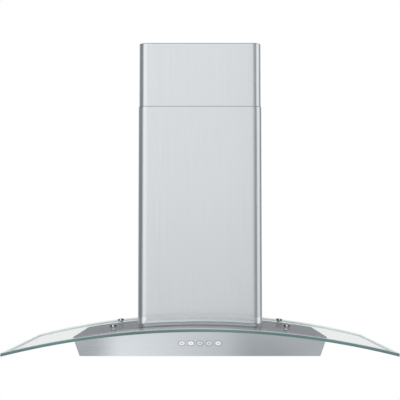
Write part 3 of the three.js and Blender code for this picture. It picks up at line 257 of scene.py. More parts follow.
def brushed_steel(name, grain_axis, turn, rough=0.2, sheen=0.8, painted_light_and_shade_by_depth=None):
    """Satin steel. grain_axis is the axis along which the brush ran, and turn lays the highlight across it.
    The last argument is painted light and shade by depth below the bend, a level that multiplies the colour:
    from and to which depth, and the level at each."""
    made, net = material(name)
    across = [1.0, 1.0, 1.0]
    across["XYZ".index(grain_axis)] = GRAIN_STRETCH
    fine = net.noise(3200.0, 3.0, 0.7, stretch=across)
    strand = net.noise(420.0, 3.0, 0.6, stretch=across)
    wiped = net.noise(7.0, 4.0, 0.6).ranged(0.35, 0.75)
    shade = (fine - 0.5) * 0.7 + (strand - 0.5) * 0.5 + 0.5
    colour = net.blend(shade, *shades(STEEL_TONE, 0.9, 1.1))
    # Painted light and shade: the colour is scaled by depth below the glass.
    if painted_light_and_shade_by_depth:
        colour = net.blend(1.0, colour, net.below_bend().ranged(*painted_light_and_shade_by_depth), "MULTIPLY")
    net.surface(principled(
        net, base_color=colour, metallic=1.0,
        roughness=(fine - 0.5) * 0.12 + (strand - 0.5) * 0.06 + wiped * 0.02 + rough,
        anisotropic=sheen, anisotropic_rotation=turn, normal=net.bump(fine, 0.035, 0.0001)))
    return made


def plain_metal(name, tone, rough, mottled=0.08, spangle=0.0, grazing=1.0):
    """Unpolished metal, faintly clouded. It has the leafy spangle of zinc where asked, and grazing is how
    bright it turns edge on."""
    made, net = material(name)
    cloud = net.noise(22.0, 4.0, 0.6)
    leaf = net.node("ShaderNodeTexVoronoi", inputs={"Vector": net.place(), "Scale": 90.0}, output="Color")
    leafy = net.node("ShaderNodeSeparateColor", inputs=[leaf])
    shade = (cloud - 0.5) * mottled + (leafy - 0.5) * spangle + 0.5
    net.surface(principled(
        net, base_color=net.blend(shade, *shades(tone, 0.7, 1.25)), metallic=1.0,
        roughness=(cloud - 0.5) * 0.16 + (leafy - 0.5) * spangle * 0.5 + rough,
        specular_tint=(grazing, grazing, grazing, 1), normal=net.bump(cloud, 0.06, 0.0004)))
    return made


def polished_metal(name, tone):
    """Bright plating with faint wipe marks. Its flanks, and partly its top, are painted near black by the way
    they face: a painted reflection of the dark sides of the room.
    """
    made, net = material(name)
    wipe = net.noise(40.0, 4.0, 0.6, stretch=(1, 1, 5))
    gloss = wipe.ranged(0.4, 0.8, 0.05, 0.12)
    bright = principled(net, base_color=tone + (1,), metallic=1.0, roughness=gloss)
    painted_dark_flank = principled(net, base_color=(0.012, 0.013, 0.015, 1), roughness=gloss, specular_ior_level=0.25)
    # Painted reflection: faces that turn sideways or upwards take the near-black finish.
    sideways = net.axis_of("ShaderNodeNewGeometry", "Normal", "X").absolute()
    upward = net.axis_of("ShaderNodeNewGeometry", "Normal", "Z")
    painted_dark_reflection = sideways.ranged(0.12, 0.35, 0.0, 0.94).most(upward.ranged(0.1, 0.7, 0.0, 0.7))
    net.surface(net.node("ShaderNodeMixShader", inputs=[painted_dark_reflection, bright, painted_dark_flank]))
    return made


def moulded(name, tone, rough, grain=0.12, coat=0.0):
    """Moulded plastic with a fine sparked grain and a slightly worn sheen."""
    made, net = material(name)
    spark = net.noise(900.0, 2.0, 0.5)
    rub = net.noise(18.0, 4.0, 0.6)
    colour = net.blend(rub.ranged(0.35, 0.7), *shades(tone, 0.92, 1.06))
    net.surface(principled(
        net, base_color=colour, roughness=(rub - 0.5) * 0.16 + rough, coat_weight=coat,
        normal=net.bump(spark, grain, 0.0001)))
    return made


def clear_glass():
    """Clear float glass, seen as a faint film that shines a little more where it slopes to the eye."""
    made, net = material("clear_glass")
    streak = net.noise(4.0, 3.0, 0.5, stretch=(1, 0.5, 1))
    clear = net.node("ShaderNodeBsdfTransparent", inputs=[(0.975, 0.982, 0.98, 1)])
    shine = principled(
        net, base_color=(1, 1, 1, 1), metallic=1.0, roughness=streak.ranged(0.45, 0.8, 0.0, 0.03))
    edge_on = net.node("ShaderNodeFresnel", inputs=[1.45])
    net.surface(net.node("ShaderNodeMixShader", inputs=[edge_on.least(0.17), clear, shine]))
    return made


def glass_edge(name, deep, pale, clearness, clear_above=0.0):
    """The ground rim of the glass: its green shows with depth, clouded a little along its length. The far rim
    is clear along its upper part, down to clear_above millimetres."""
    made, net = material(name)
    drift = net.noise(4.0, 2.0, 0.5, stretch=(1, 1, 0.2))
    body = principled(
        net, base_color=net.blend(drift.ranged(0.3, 0.75), deep + (1,), pale + (1,)), roughness=0.16,
        coat_weight=0.2, normal=net.bump(net.noise(350.0, 2.0), 0.01, 0.0001))
    clear = net.node("ShaderNodeBsdfTransparent", inputs=[(0.94, 0.97, 0.96, 1)])
    solid = drift.ranged(0.2, 0.8, 1 - clearness, 1.0)
    if clear_above:
        solid = solid * net.below_bend().ranged(clear_above - 2, clear_above + 1, 0.12, 1.0)
    net.surface(net.node("ShaderNodeMixShader", inputs=[solid, clear, body]))
    return made


def frosted_lens():
    """Moulded lamp glass: a fine prism texture over a pale body."""
    made, net = material("frosted_lens")
    cell = net.node("ShaderNodeTexVoronoi", {"feature": "F1"}, {"Vector": net.place(), "Scale": 420.0})
    net.surface(principled(
        net, base_color=net.blend(cell.ranged(0.1, 0.6), (0.9, 0.9, 0.87, 1), (0.76, 0.77, 0.75, 1)),
        roughness=cell.ranged(0.0, 0.7, 0.12, 0.3), coat_weight=0.5, normal=net.bump(cell, 0.25, 0.0004)))
    return made


def mesh_foil():
    """Dull aluminium foil behind the filter's mesh, darker where grease and shade gather."""
    made, net = material("filter_foil")
    crumple = net.noise(260.0, 3.0, 0.6)
    greasy = net.noise(14.0, 4.0, 0.6)
    shade = crumple.ranged(0.3, 0.7, 0.3, 0.7) + (greasy - 0.5) * 0.5
    net.surface(principled(
        net, base_color=net.blend(shade, (0.10, 0.10, 0.10, 1), (0.24, 0.24, 0.235, 1)), metallic=0.7,
        roughness=greasy.ranged(0.3, 0.7, 0.42, 0.6), normal=net.bump(crumple, 0.4, 0.0005)))
    return made


# Painted light: the chimney's lowest 12 mm, just above the glass, is made a quarter brighter.
upright_steel = brushed_steel("upright_brushed_steel", "Z", 0.0, painted_light_and_shade_by_depth=(-18.5, -12.5, 1.0, 1.25))
# Painted shade: the body's front is darkened to under half along its top, just under the glass.
level_steel = brushed_steel("level_brushed_steel", "X", 0.25, rough=0.15, painted_light_and_shade_by_depth=(12.0, 17.0, 0.45, 1.0))
plate_steel = plain_metal("shaded_plate_steel", (0.37, 0.36, 0.41), 0.45, mottled=0.03, grazing=0.5)
underside_steel = brushed_steel("underside_brushed_steel", "X", 0.0, rough=0.3, sheen=0.0)
# Dark steel for the covers' top band: the sheared edge, and a painted shadow line along the outer face below
# it.
sheared_edge_and_shadow_steel = plain_metal("sheared_steel_edge", (0.22, 0.23, 0.25), 0.35)
galvanised = plain_metal("galvanised_sheet", (0.54, 0.56, 0.575), 0.4, mottled=0.06, spangle=0.22)
zinc = plain_metal("zinc_plate", (0.55, 0.56, 0.57), 0.34)
aluminium = plain_metal("mill_aluminium", (0.66, 0.67, 0.68), 0.38, mottled=0.12)
chrome = polished_metal("bright_chrome", (0.92, 0.93, 0.94))
white_plastic = moulded("white_button_plastic", (0.93, 0.91, 0.88), 0.32, grain=0.04, coat=0.3)
# Painted shade: the white button plastic darkened, for the middle two caps that mirror less light.
painted_shade_plastic = moulded("dim_button_plastic", (0.75, 0.75, 0.74), 0.32, grain=0.04, coat=0.3)
ivory_plastic = moulded("pale_case_plastic", (0.72, 0.72, 0.70), 0.45)
bezel_plastic = moulded("bezel_plastic", (0.46, 0.475, 0.49), 0.45)
black_plastic = moulded("black_plastic", (0.018, 0.019, 0.021), 0.42)
grey_plastic = moulded("grey_plastic", (0.135, 0.145, 0.15), 0.5)
dark_rubber = moulded("dark_rubber", (0.02, 0.02, 0.02), 0.75, grain=0.3)
print_brown = moulded("printed_mark", (0.20, 0.185, 0.17), 0.5)
glass_face = clear_glass()
glass_front_rim = glass_edge("glass_front_rim", (0.075, 0.15, 0.137), (0.15, 0.245, 0.23), 0.0)
# Painted light: the far rim is pale, as if lit through from behind.
glass_far_rim = glass_edge("glass_far_rim", (0.48, 0.61, 0.58), (0.66, 0.78, 0.74), 0.2, clear_above=4.0)
# Painted light: the window's cut face is made near white, brighter than the shade beside the chimney allows.
glass_cut_painted_light = glass_edge("glass_window_cut", (0.84, 0.9, 0.97), (0.9, 0.96, 1.0), 0.0)
glass_arris = glass_edge("glass_arris", (0.42, 0.47, 0.48), (0.5, 0.55, 0.56), 0.1)
lens_glass = frosted_lens()
foil = mesh_foil()


# Meshes


def finish_mesh(name, bm, materials, smooth_to=SMOOTH_TO):
    """Turns a bmesh into a piece in place, smooth where its faces meet at less than this many degrees."""
    mesh = bpy.data.meshes.new(name)
    bmesh.ops.recalc_face_normals(bm, faces=bm.faces)
    bm.to_mesh(mesh)
    bm.free()
    for m in materials:
        mesh.materials.append(m)
    for polygon in mesh.polygons:
        polygon.use_smooth = True
    mesh.set_sharp_from_angle(angle=radians(smooth_to))
    piece = bpy.data.objects.new(name, mesh)
    bpy.context.scene.collection.objects.link(piece)
    return piece


def stand_in(piece, node):
    """The piece takes the place of a CAD node, on its body."""
    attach(piece, BODY_OF[node])
    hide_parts(node)


def added(piece, node):
    """The piece is extra, on the body of a CAD node."""
    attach(piece, BODY_OF[node])


def taken_from(holder):
    """What an object comes to once it is evaluated, as a bmesh. The object itself goes."""
    bpy.context.scene.collection.objects.link(holder)
    bpy.context.view_layer.update()
    made = bpy.data.meshes.new_from_object(holder.evaluated_get(bpy.context.evaluated_depsgraph_get()))
    bpy.data.objects.remove(holder)
    bm = bmesh.new()
    bm.from_mesh(made)
    bpy.data.meshes.remove(made)
    return bm


class Growth(Net):
    """A Geometry Nodes tree, with named inputs whose values its modifier holds."""

    def __init__(self, name):
        self.tree = bpy.data.node_groups.new(name, "GeometryNodeTree")
        self.tree.interface.new_socket("Geometry", in_out="INPUT", socket_type="NodeSocketGeometry")
        self.tree.interface.new_socket("Geometry", in_out="OUTPUT", socket_type="NodeSocketGeometry")
        self.source = self.tree.nodes.new("NodeGroupInput")
        self.given = {}
        self.start = Value(self, self.source.outputs["Geometry"])

    def setting(self, name, kind, value):
        """A named input of the tree."""
        socket = self.tree.interface.new_socket(name, in_out="INPUT", socket_type=f"NodeSocket{kind}")
        self.given[socket.identifier] = value
        return Value(self, self.source.outputs[name])

    def across(self):
        """The X coordinate of each point."""
        return self.axis_of("GeometryNodeInputPosition", "Position", "X")

    def painted(self, geometry, finish):
        """Instances made real, in one finish."""
        real = self.node("GeometryNodeRealizeInstances", inputs={"Geometry": geometry})
        return self.node("GeometryNodeSetMaterial", inputs={"Geometry": real, "Material": finish})

    def grow(self, geometry, mesh=None):
        """Runs the tree on a mesh, or on nothing, and returns what it makes as a bmesh."""
        end = self.tree.nodes.new("NodeGroupOutput")
        self.tree.links.new(geometry.socket, end.inputs["Geometry"])
        holder = bpy.data.objects.new(self.tree.name, mesh or bpy.data.meshes.new(self.tree.name))
        modifier = holder.modifiers.new(self.tree.name, "NODES")
        modifier.node_group = self.tree
        for identifier, value in self.given.items():
            modifier[identifier] = value
        return taken_from(holder)


def break_edges(bm, width, sharper_than):
    """A fine chamfer on every edge where two faces meet at more than this many degrees."""
    sharp = [e for e in bm.edges if e.is_manifold and e.calc_face_angle(0) > radians(sharper_than)]
    bmesh.ops.bevel(bm, geom=sharp, offset=width, segments=1, affect="EDGES", clamp_overlap=True)


def dressed(node, finish, edge=EDGE_BREAK):
    """A clean copy of a CAD node: triangles joined into whole faces, edges broken by a fine chamfer."""
    bm = bmesh.new()
    bm.from_mesh(frame["nodes"][node].data)
    bmesh.ops.remove_doubles(bm, verts=bm.verts, dist=2 * TOUCHING)
    bmesh.ops.dissolve_limit(bm, angle_limit=radians(FLAT_WITHIN), verts=bm.verts, edges=bm.edges)
    if edge:
        break_edges(bm, edge, SMOOTH_TO)
    stand_in(finish_mesh(f"{node}_dressed", bm, [finish]), node)


def circle(x, y, radius, steps=40):
    angles = [2 * pi * i / steps for i in range(steps)]
    return [(x + radius * cos(a), y + radius * sin(a)) for a in angles]


def arc(x, y, radius, start, steps):
    """A quarter circle, anticlockwise from an angle."""
    angles = [start + pi / 2 * i / steps for i in range(steps + 1)]
    return [(x + radius * cos(a), y + radius * sin(a)) for a in angles]


def join_rings(bm, pairs, steps):
    """Faces between pairs of rings. A ring of one point closes the form there."""
    for lower, upper in pairs:
        for i in range(steps):
            corners = [lower[i % len(lower)], lower[(i + 1) % len(lower)],
                       upper[(i + 1) % len(upper)], upper[i % len(upper)]]
            distinct = list(dict.fromkeys(corners))
            if len(distinct) > 2:
                bm.faces.new(distinct)


def turned(bm, profile, centre, steps, direction=(0, 0, 1)):
    """Adds a turned form: (radius, height) points about an axis through centre. It starts and ends on the
    axis or closes on itself."""
    turn = Vector((0, 0, 1)).rotation_difference(Vector(direction).normalized()).to_matrix()
    rings = []
    for radius, height in profile:
        around = circle(0, 0, radius, steps) if radius > 0 else [(0, 0)]
        rings.append([bm.verts.new(turn @ Vector((x, y, height)) + Vector(centre)) for x, y in around])
    pairs = list(zip(rings, rings[1:]))
    if profile[0][0] > 0:
        pairs.append((rings[-1], rings[0]))
    join_rings(bm, pairs, steps)


def rounded_plan(low, high, radius):
    """Corner points of a rounded rectangle, anticlockwise."""
    left, right = low[0] + radius, high[0] - radius
    front, back = low[1] + radius, high[1] - radius
    centres = [(right, back), (left, back), (left, front), (right, front)]
    return [point for i, (x, y) in enumerate(centres) for point in arc(x, y, radius, i * pi / 2, PLAN_STEPS)]


def flat_sheet(outline, holes, thickness, arris):
    """A flat sheet with holes and chamfered edges, its top at height 0, as a bmesh."""
    curve = bpy.data.curves.new("outline", "CURVE")
    curve.dimensions = "2D"
    curve.fill_mode = "BOTH"
    curve.extrude = thickness / 2 - arris
    curve.bevel_depth = arris
    curve.bevel_resolution = 1
    curve.offset = -arris
    for points in [outline, *holes]:
        spline = curve.splines.new("POLY")
        spline.points.add(len(points) - 1)
        for point, (x, y) in zip(spline.points, points):
            point.co = (x, y, 0, 1)
        spline.use_cyclic_u = True
    bm = taken_from(bpy.data.objects.new("outline", curve))
    bmesh.ops.remove_doubles(bm, verts=bm.verts, dist=TOUCHING)
    bmesh.ops.translate(bm, verts=bm.verts, vec=(0, 0, -thickness / 2))
    return bm


def cut_across(bm, place, axis):
    """Cuts every face that a plane through place meets."""
    everything = bm.verts[:] + bm.edges[:] + bm.faces[:]
    bmesh.ops.bisect_plane(bm, geom=everything, plane_co=place, plane_no=axis, dist=TOUCHING)


def cut_in_strips(bm, low_x, high_x, step):
    """Cuts a flat form across X, so that it can bend."""
    x = low_x + step
    while x < high_x - step / 2:
        cut_across(bm, (x, 0, 0), (1, 0, 0))
        x += step


def bent(bm, radius, centre_height):
    """Lays a flat form, drawn about height 0, over a cylinder along Y."""
    mesh = bpy.data.meshes.new("flat")
    bm.to_mesh(mesh)
    bm.free()
    rule = Growth("bend")
    bend_radius = rule.setting("Bend Radius", "Float", radius)
    centre = rule.setting("Centre Height", "Float", centre_height)
    x = rule.across()
    rise = (bend_radius * bend_radius - x * x).math("SQRT") + centre
    offset = rule.node("ShaderNodeCombineXYZ", inputs={"Z": rise})
    return rule.grow(rule.node("GeometryNodeSetPosition", inputs={
        "Geometry": rule.start, "Offset": offset}), mesh)


def quarter(steps):
    """Angles from nothing to a right angle."""
    return [pi / 2 * i / steps for i in range(steps + 1)]


# Glass


FACE, FRONT_RIM, FAR_RIM, ARRIS, CUT = range(5)  # the order of the glass's finishes
GLASS_STRIP = 9 * MM  # width of a facet along the bend


def glass_kind(normal, in_window):
    """The finish of a face of the flat glass, by the way it looks and whether it is in the window."""
    if abs(normal.z) > 0.95:
        return FACE
    if in_window:
        return CUT
    if normal.z > 0.3 and normal.y < -0.3:
        return ARRIS
    return FRONT_RIM if normal.y < -0.7 else FAR_RIM


def glass_canopy():
    """A flat sheet with a window for the blower and four holes, then bent."""
    blower_low, blower_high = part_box("blower_box")
    margin = BLOWER_CLEARANCE
    window = rounded_plan((blower_low.x - margin, blower_low.y - margin),
                          (blower_high.x + margin, blower_high.y + margin), GLASS_CORNER)
    holes = [window]
    for corner in CORNERS:
        low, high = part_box(f"glass_washer_{corner}")
        holes.append(circle((low.x + high.x) / 2, (low.y + high.y) / 2, FIXING_HOLE))
    outline = rounded_plan(glass_low, glass_high, GLASS_CORNER)
    bm = flat_sheet(outline, holes, GLASS_THICKNESS, GLASS_ARRIS)
    cut_in_strips(bm, glass_low.x, glass_high.x, GLASS_STRIP)
    bm.normal_update()
    for face in bm.faces:
        middle = face.calc_center_median()
        in_depth = blower_low.y - 2 * margin < middle.y < -margin
        in_width = abs(middle.x) < blower_high.x + 2 * margin
        face.material_index = glass_kind(face.normal, in_depth and in_width)
    bm = bent(bm, BEND_RADIUS, BEND_CENTRE)
    finishes = [glass_face, glass_front_rim, glass_far_rim, glass_arris, glass_cut_painted_light]
    stand_in(finish_mesh("bent_glass", bm, finishes, 25), "glass_canopy")


def fixing_outline(end):
    """Half a fixing, from the foot of its shank: a head with a rounded edge and a faint crown."""
    radius, height = FIXING_HEAD
    flat, top = radius - FIXING_ROUNDING, GAP + height
    shoulder = top - FIXING_CROWN - FIXING_ROUNDING
    edge = [(radius - FIXING_ROUNDING * (1 - cos(a)), shoulder + FIXING_ROUNDING * sin(a))
            for a in quarter(6)]
    crown = [(flat * cos(a), top - FIXING_CROWN * (1 - sin(a))) for a in quarter(5)[1:-1]]
    return [(0, end), (FIXING_SHANK, end), (FIXING_SHANK, GAP), (radius, GAP), *edge, *crown, (0, top)]


def washer_outline():
    """Half a washer, just below the glass."""
    inner, outer = FIXING_SHANK + GAP, WASHER_RADIUS
    upper = -(GLASS_THICKNESS + GAP)
    lower = upper - WASHER_THICKNESS
    return [(inner, lower), (outer - EDGE_BREAK, lower), (outer, lower + EDGE_BREAK),
            (outer, upper - EDGE_BREAK), (outer - EDGE_BREAK, upper), (inner, upper)]


def glass_fixings():
    """Chromed heads on pale sleeves, upright on the bend, and the washers below."""
    for corner in CORNERS:
        node, washer = f"glass_fixing_{corner}", f"glass_washer_{corner}"
        low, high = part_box(node)
        washer_low, washer_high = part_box(washer)
        foot = (washer_low + washer_high) / 2
        x = foot.x * BEND_RADIUS / (BEND_RADIUS - GLASS_THICKNESS)
        upright = Vector((x, 0, roof(x) - BEND_CENTRE)).normalized()
        top = Vector((x, foot.y, roof(x)))
        bm = bmesh.new()
        shank = high.z - low.z - GAP - FIXING_HEAD[1]
        turned(bm, fixing_outline(-shank), top, 48, upright)
        for face in bm.faces:
            face.material_index = int((face.calc_center_median() - top).dot(upright) < GAP / 2)
        stand_in(finish_mesh(f"{node}_polished", bm, [chrome, ivory_plastic]), node)
        bm = bmesh.new()
        turned(bm, washer_outline(), top, 40, upright)
        stand_in(finish_mesh(f"{washer}_moulded", bm, [dark_rubber]), washer)


# Chimney

PAINTED_SHADOW_BAND = 1.5 * MM  # darker band along the top: painted shadow of the joint between the covers, over the real sheared edge
COVER_CORNER_STEPS = 14
COVER_FACE_STEPS = 36  # enough for the foot to follow the bend


def chimney_path(low, high, inset):
    """Outer and inner points of the U-shaped section, from one rear flange round to the other."""
    radius = CHIMNEY_CORNER - inset
    half, front, rear = high.x, low.y, high.y
    inner_flange, bend = half - CHIMNEY_RETURN, half - radius

    def section(shift):
        points = [(-inner_flange, rear - shift), (-half + shift, rear - shift)]
        points += arc(-bend, front + radius, radius - shift, pi, COVER_CORNER_STEPS)
        points += [(-bend + 2 * bend * i / COVER_FACE_STEPS, front + shift) for i in range(1, COVER_FACE_STEPS)]
        points += arc(bend, front + radius, radius - shift, 1.5 * pi, COVER_CORNER_STEPS)
        points += [(half - shift, rear - shift), (inner_flange, rear - shift)]
        return points

    return section(0), section(SHEET)


def chimney(node, inset, follows_glass):
    """A folded cover. The lower one's foot follows the glass, and each has a darker upper band: painted shadow
    of the joint between the covers, which also takes in the sheared edge.
    """
    low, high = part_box(node)
    outer, inner = chimney_path(low, high, inset)
    painted_shadow_start = high.z - PAINTED_SHADOW_BAND
    bm = bmesh.new()

    def foot(x):
        return roof(x) + GAP if follows_glass else low.z

    def row(points, at_top):
        return [bm.verts.new((x, y, high.z if at_top else foot(x))) for x, y in points]

    loops = [row(outer, False), row(outer, True), row(inner, True), row(inner, False)]
    for a, b in zip(loops, loops[1:] + loops[:1]):
        for i in range(len(a) - 1):
            bm.faces.new((a[i], a[i + 1], b[i + 1], b[i]))
    for end in (0, -1):
        bm.faces.new([loop[end] for loop in loops])
    bmesh.ops.recalc_face_normals(bm, faces=bm.faces)
    # The top band takes the dark finish: painted shadow at the joint, and the sheared edge.
    cut_across(bm, (0, 0, painted_shadow_start), (0, 0, 1))
    for face in bm.faces:
        face.material_index = int(face.calc_center_median().z > painted_shadow_start)
    break_edges(bm, THIN_BREAK, 60)
    stand_in(finish_mesh(f"{node}_brushed", bm, [upright_steel, sheared_edge_and_shadow_steel], 20), node)


# Push buttons


def oval(bm, centre, stations, steps=56):
    """Adds an oval form along Y: stations are (half width, half height, y). A half width of 0 closes it."""
    rings = []
    for a, b, y in stations:
        around = circle(0, 0, 1, steps) if a > 0 else [(0, 0)]
        rings.append([bm.verts.new((centre[0] + a * x, y, centre[1] + b * z)) for x, z in around])
    join_rings(bm, zip(rings, rings[1:]), steps)


CAP_DISH = ((0, 0.15 * MM), (0.5, 0.05 * MM))  # how far the cap's face sinks, at parts of its width
MARK_DEPTHS = (0.01 * MM, 0.31 * MM)  # from the cap's face to the mark's front and back
# The buttons whose caps get the darkened copy of the white plastic, a painted shade.
PAINTED_SHADE_BUTTONS = (3, 4)

# Marks printed on each button: half width, half height and height above the middle, in millimetres
BUTTON_MARKS = {
    1: ((3.5, 0.4, 0.9), (3.5, 0.4, -0.9)),
    2: ((2.6, 0.3, 0.0),),
    3: ((3.0, 0.75, 0.0),),
    4: ((3.0, 0.45, 0.75), (3.0, 0.45, -0.75)),
    5: ((3.2, 0.7, 0.0),),
}


def button_cap(node, number):
    """A rounded cap, with the flange that holds it in and the stem that works its switch."""
    low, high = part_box(node)
    centre = ((low.x + high.x) / 2, (low.z + high.z) / 2)
    a, b = BUTTON_HALF
    rounding, flange, stem = BUTTON_ROUNDING, BUTTON_FLANGE, BUTTON_STEM
    front, back = [low.y + depth for depth in BUTTON_FLANGE_DEPTHS]
    dish = [(a * part, b * part, low.y + depth) for part, depth in CAP_DISH]
    edge = [(a - rounding * (1 - sin(t)), b - rounding * (1 - sin(t)), low.y + rounding * (1 - cos(t)))
            for t in quarter(5)]
    bm = bmesh.new()
    oval(bm, centre, [
        *dish, *edge, (a, b, front), (a + flange, b + flange, front), (a + flange, b + flange, back),
        (stem, stem, back), (stem, stem, high.y), (0, 0, high.y)])
    # The middle two caps take the painted shade copy.
    finish = painted_shade_plastic if number in PAINTED_SHADE_BUTTONS else white_plastic
    stand_in(finish_mesh(f"{node}_cap", bm, [finish], 40), node)


def button_mark(node, number):
    """The printed bars, a hair above the cap's face."""
    low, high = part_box(node)
    front, back = [low.y + depth for depth in MARK_DEPTHS]
    bm = bmesh.new()
    for half_width, half_height, up in BUTTON_MARKS[number]:
        wide, tall = half_width * MM, half_height * MM
        centre = ((low.x + high.x) / 2, (low.z + high.z) / 2 + up * MM)
        oval(bm, centre, [(0, 0, front), (wide, tall, front), (wide, tall, back), (0, 0, back)], 28)
    added(finish_mesh(f"{node}_mark", bm, [print_brown], 40), node)


def push_buttons():
    for number in BUTTONS:
        button_cap(f"button_{number}", number)
        button_mark(f"button_{number}", number)


# Grease filters

FOLD = 6 * MM
STRAND = (0.75 * MM, 0.36 * MM)  # width and thickness
CORE_HALF = 0.22 * MM  # half the foil's thickness
PLEAT_MARGIN = 0.6 * MM  # from the pleats' ridges to the faces of the filter's box
CELL_DEPTH = 3.03 * MM


def filter_room(side):
    """The box of a filter's mesh: its corners, its middle, half its width and the rise of its pleats."""
    low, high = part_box(f"filter_mesh_{side}")
    return low, high, (low + high) / 2, (high.x - low.x) / 2, (high.z - low.z) / 2 - PLEAT_MARGIN


def pleated_core(side):
    """The folded foil between the two faces of mesh."""
    low, high, centre, half, rise = filter_room(side)
    folds = round(2 * half / FOLD)
    ridge = [(-half + i * FOLD, rise if i % 2 else -rise) for i in range(folds + 1)]
    section = [(x, z - CORE_HALF) for x, z in ridge] + [(x, z + CORE_HALF) for x, z in reversed(ridge)]
    count = len(section)
    bm = bmesh.new()
    front, back = [[bm.verts.new((centre.x + x, y, centre.z + z)) for x, z in section]
                   for y in (low.y, high.y)]
    for i in range(count):
        bm.faces.new((front[i], front[(i + 1) % count], back[(i + 1) % count], back[i]))
    for end in (front, back):
        for i in range(folds):
            bm.faces.new((end[i], end[i + 1], end[count - 2 - i], end[count - 1 - i]))
    return finish_mesh(f"filter_core_{side}", bm, [foil], 20)


def expanded_mesh(side):
    """Diamond cells of expanded aluminium, draped over both faces of the pleats."""
    low, high, centre, half, rise = filter_room(side)
    strand_width, strand_height = STRAND
    net = Growth(f"expanded_mesh_{side}")
    wide = net.setting("Cell Width", "Float", FOLD)
    deep = net.setting("Cell Depth", "Float", CELL_DEPTH)
    across = net.setting("Columns", "Int", round(2 * half / FOLD))
    along = net.setting("Rows", "Int", int((high.y - low.y) / CELL_DEPTH))
    pleat = net.setting("Pleat Rise", "Float", rise)
    apart = net.setting("Apart", "Float", CORE_HALF + strand_height / 2)
    middle = net.setting("Middle", "Vector", tuple(centre))
    spots = net.node("GeometryNodeMeshGrid", inputs={
        "Size X": (across - 1) * wide, "Size Y": (along - 1) * deep,
        "Vertices X": across, "Vertices Y": along})
    half_cell = deep / 2 - strand_width / 4
    diamond = net.node("GeometryNodeCurvePrimitiveQuadrilateral", {"mode": "KITE"}, {
        "Width": wide - strand_width / 2, "Bottom Height": half_cell, "Top Height": half_cell})
    strand = net.node("GeometryNodeCurvePrimitiveQuadrilateral", inputs={
        "Width": strand_width, "Height": strand_height})
    cell = net.node("GeometryNodeCurveToMesh", inputs={"Curve": diamond, "Profile Curve": strand})
    flat = net.node("GeometryNodeRealizeInstances", inputs={"Geometry": net.node(
        "GeometryNodeInstanceOnPoints", inputs={"Points": spots, "Instance": cell})})
    wave = (net.across() + across * wide / 2).math("PINGPONG", wide) / wide * 2 - 1
    faces = []
    for sign in (-1, 1):
        offset = net.node("ShaderNodeCombineXYZ", inputs={"Z": wave * pleat + apart * sign})
        draped = net.node("GeometryNodeSetPosition", inputs={"Geometry": flat, "Offset": offset})
        faces.append(net.node("GeometryNodeTransform", inputs={"Geometry": draped, "Translation": middle}))
    both = net.tree.nodes.new("GeometryNodeJoinGeometry")
    for face in faces:
        net.tree.links.new(face.socket, both.inputs[0])
    bm = net.grow(net.painted(Value(net, both.outputs[0]), aluminium))
    return finish_mesh(f"expanded_mesh_{side}", bm, [aluminium], 40)


def grease_filters():
    for side in SIDES:
        stand_in(pleated_core(side), f"filter_mesh_{side}")
        added(expanded_mesh(side), f"filter_mesh_{side}")


# Screws

SCREW_HEAD = (3.4 * MM, 1.0 * MM)  # radius and height
SCREW_ARRIS = 0.28 * MM
RECESS = (2.0 * MM, 0.55 * MM)  # reach and width of the cross
RECESS_FLOOR = (3.0 * MM, 0.02 * MM, 0.25 * MM)  # radius, underside and top of the disc that closes it
SHELF_INSET = 9 * MM  # from the edges of the underside and of the collar's base
UNDERSIDE_SHIFT = 30 * MM  # of the middle screw, towards the wall
COLLAR_BASE = 1.5 * MM
CLIP_SHEET = 1.5 * MM
CLIP_INSET = 4.5 * MM
LID_INSET = 6 * MM
DRIVER_FOOT = 2 * MM
DRIVER_INSET = 3.5 * MM
BRACKET_INSET = 4 * MM
COVER_SCREW_DEPTH = 25 * MM  # from the wall


def screw_head():
    """A flat pan head with a cross let into it, standing on height 0."""
    radius, height = SCREW_HEAD
    reach, half = RECESS[0], RECESS[1] / 2
    arm = [(half, half), (half, reach), (-half, reach)]
    cross = [(x * cos(a) - y * sin(a), x * sin(a) + y * cos(a))
             for a in (0, pi / 2, pi, 1.5 * pi) for x, y in arm]
    bm = flat_sheet(circle(0, 0, radius, 24), [cross], height, SCREW_ARRIS)
    bmesh.ops.translate(bm, verts=bm.verts, vec=(0, 0, height))
    floor, under, over = RECESS_FLOOR
    turned(bm, [(0, under), (floor, under), (floor, over), (0, over)], (0, 0, 0), 16)
    return finish_mesh("screw_head", bm, [zinc], 40)


def screws(name, facing, spots, seed):
    """Screw heads on a surface that faces this way, each turned as the driver left it."""
    points = bpy.data.meshes.new(name)
    points.from_pydata(spots, [], [])
    head = screw_head()
    net = Growth(name)
    pattern = net.node("GeometryNodeObjectInfo", inputs={
        "Object": net.setting("Head", "Object", head)}, output="Geometry")
    upright = net.node("FunctionNodeAlignRotationToVector", {"axis": "Z"}, {
        "Vector": net.setting("Facing", "Vector", facing)})
    driven = net.node("FunctionNodeRandomValue", {"data_type": "FLOAT"}, {
        "Max": pi, "Seed": net.setting("Seed", "Int", seed)}, output=1)
    spin = net.node("FunctionNodeEulerToRotation", inputs=[
        net.node("ShaderNodeCombineXYZ", inputs={"Z": driven})])
    turn = net.node("FunctionNodeRotateRotation", {"rotation_space": "LOCAL"}, {
        "Rotation": upright, "Rotate By": spin})
    placed = net.node("GeometryNodeInstanceOnPoints", inputs={
        "Points": net.start, "Instance": pattern, "Rotation": turn})
    bm = net.grow(net.painted(placed, zinc), points)
    bpy.data.objects.remove(head)
    added(finish_mesh(name, bm, [zinc], 40), "wall_screw_left")


def ends(low, high, inset):
    """Two places, this far in from either end."""
    return low + inset, high - inset


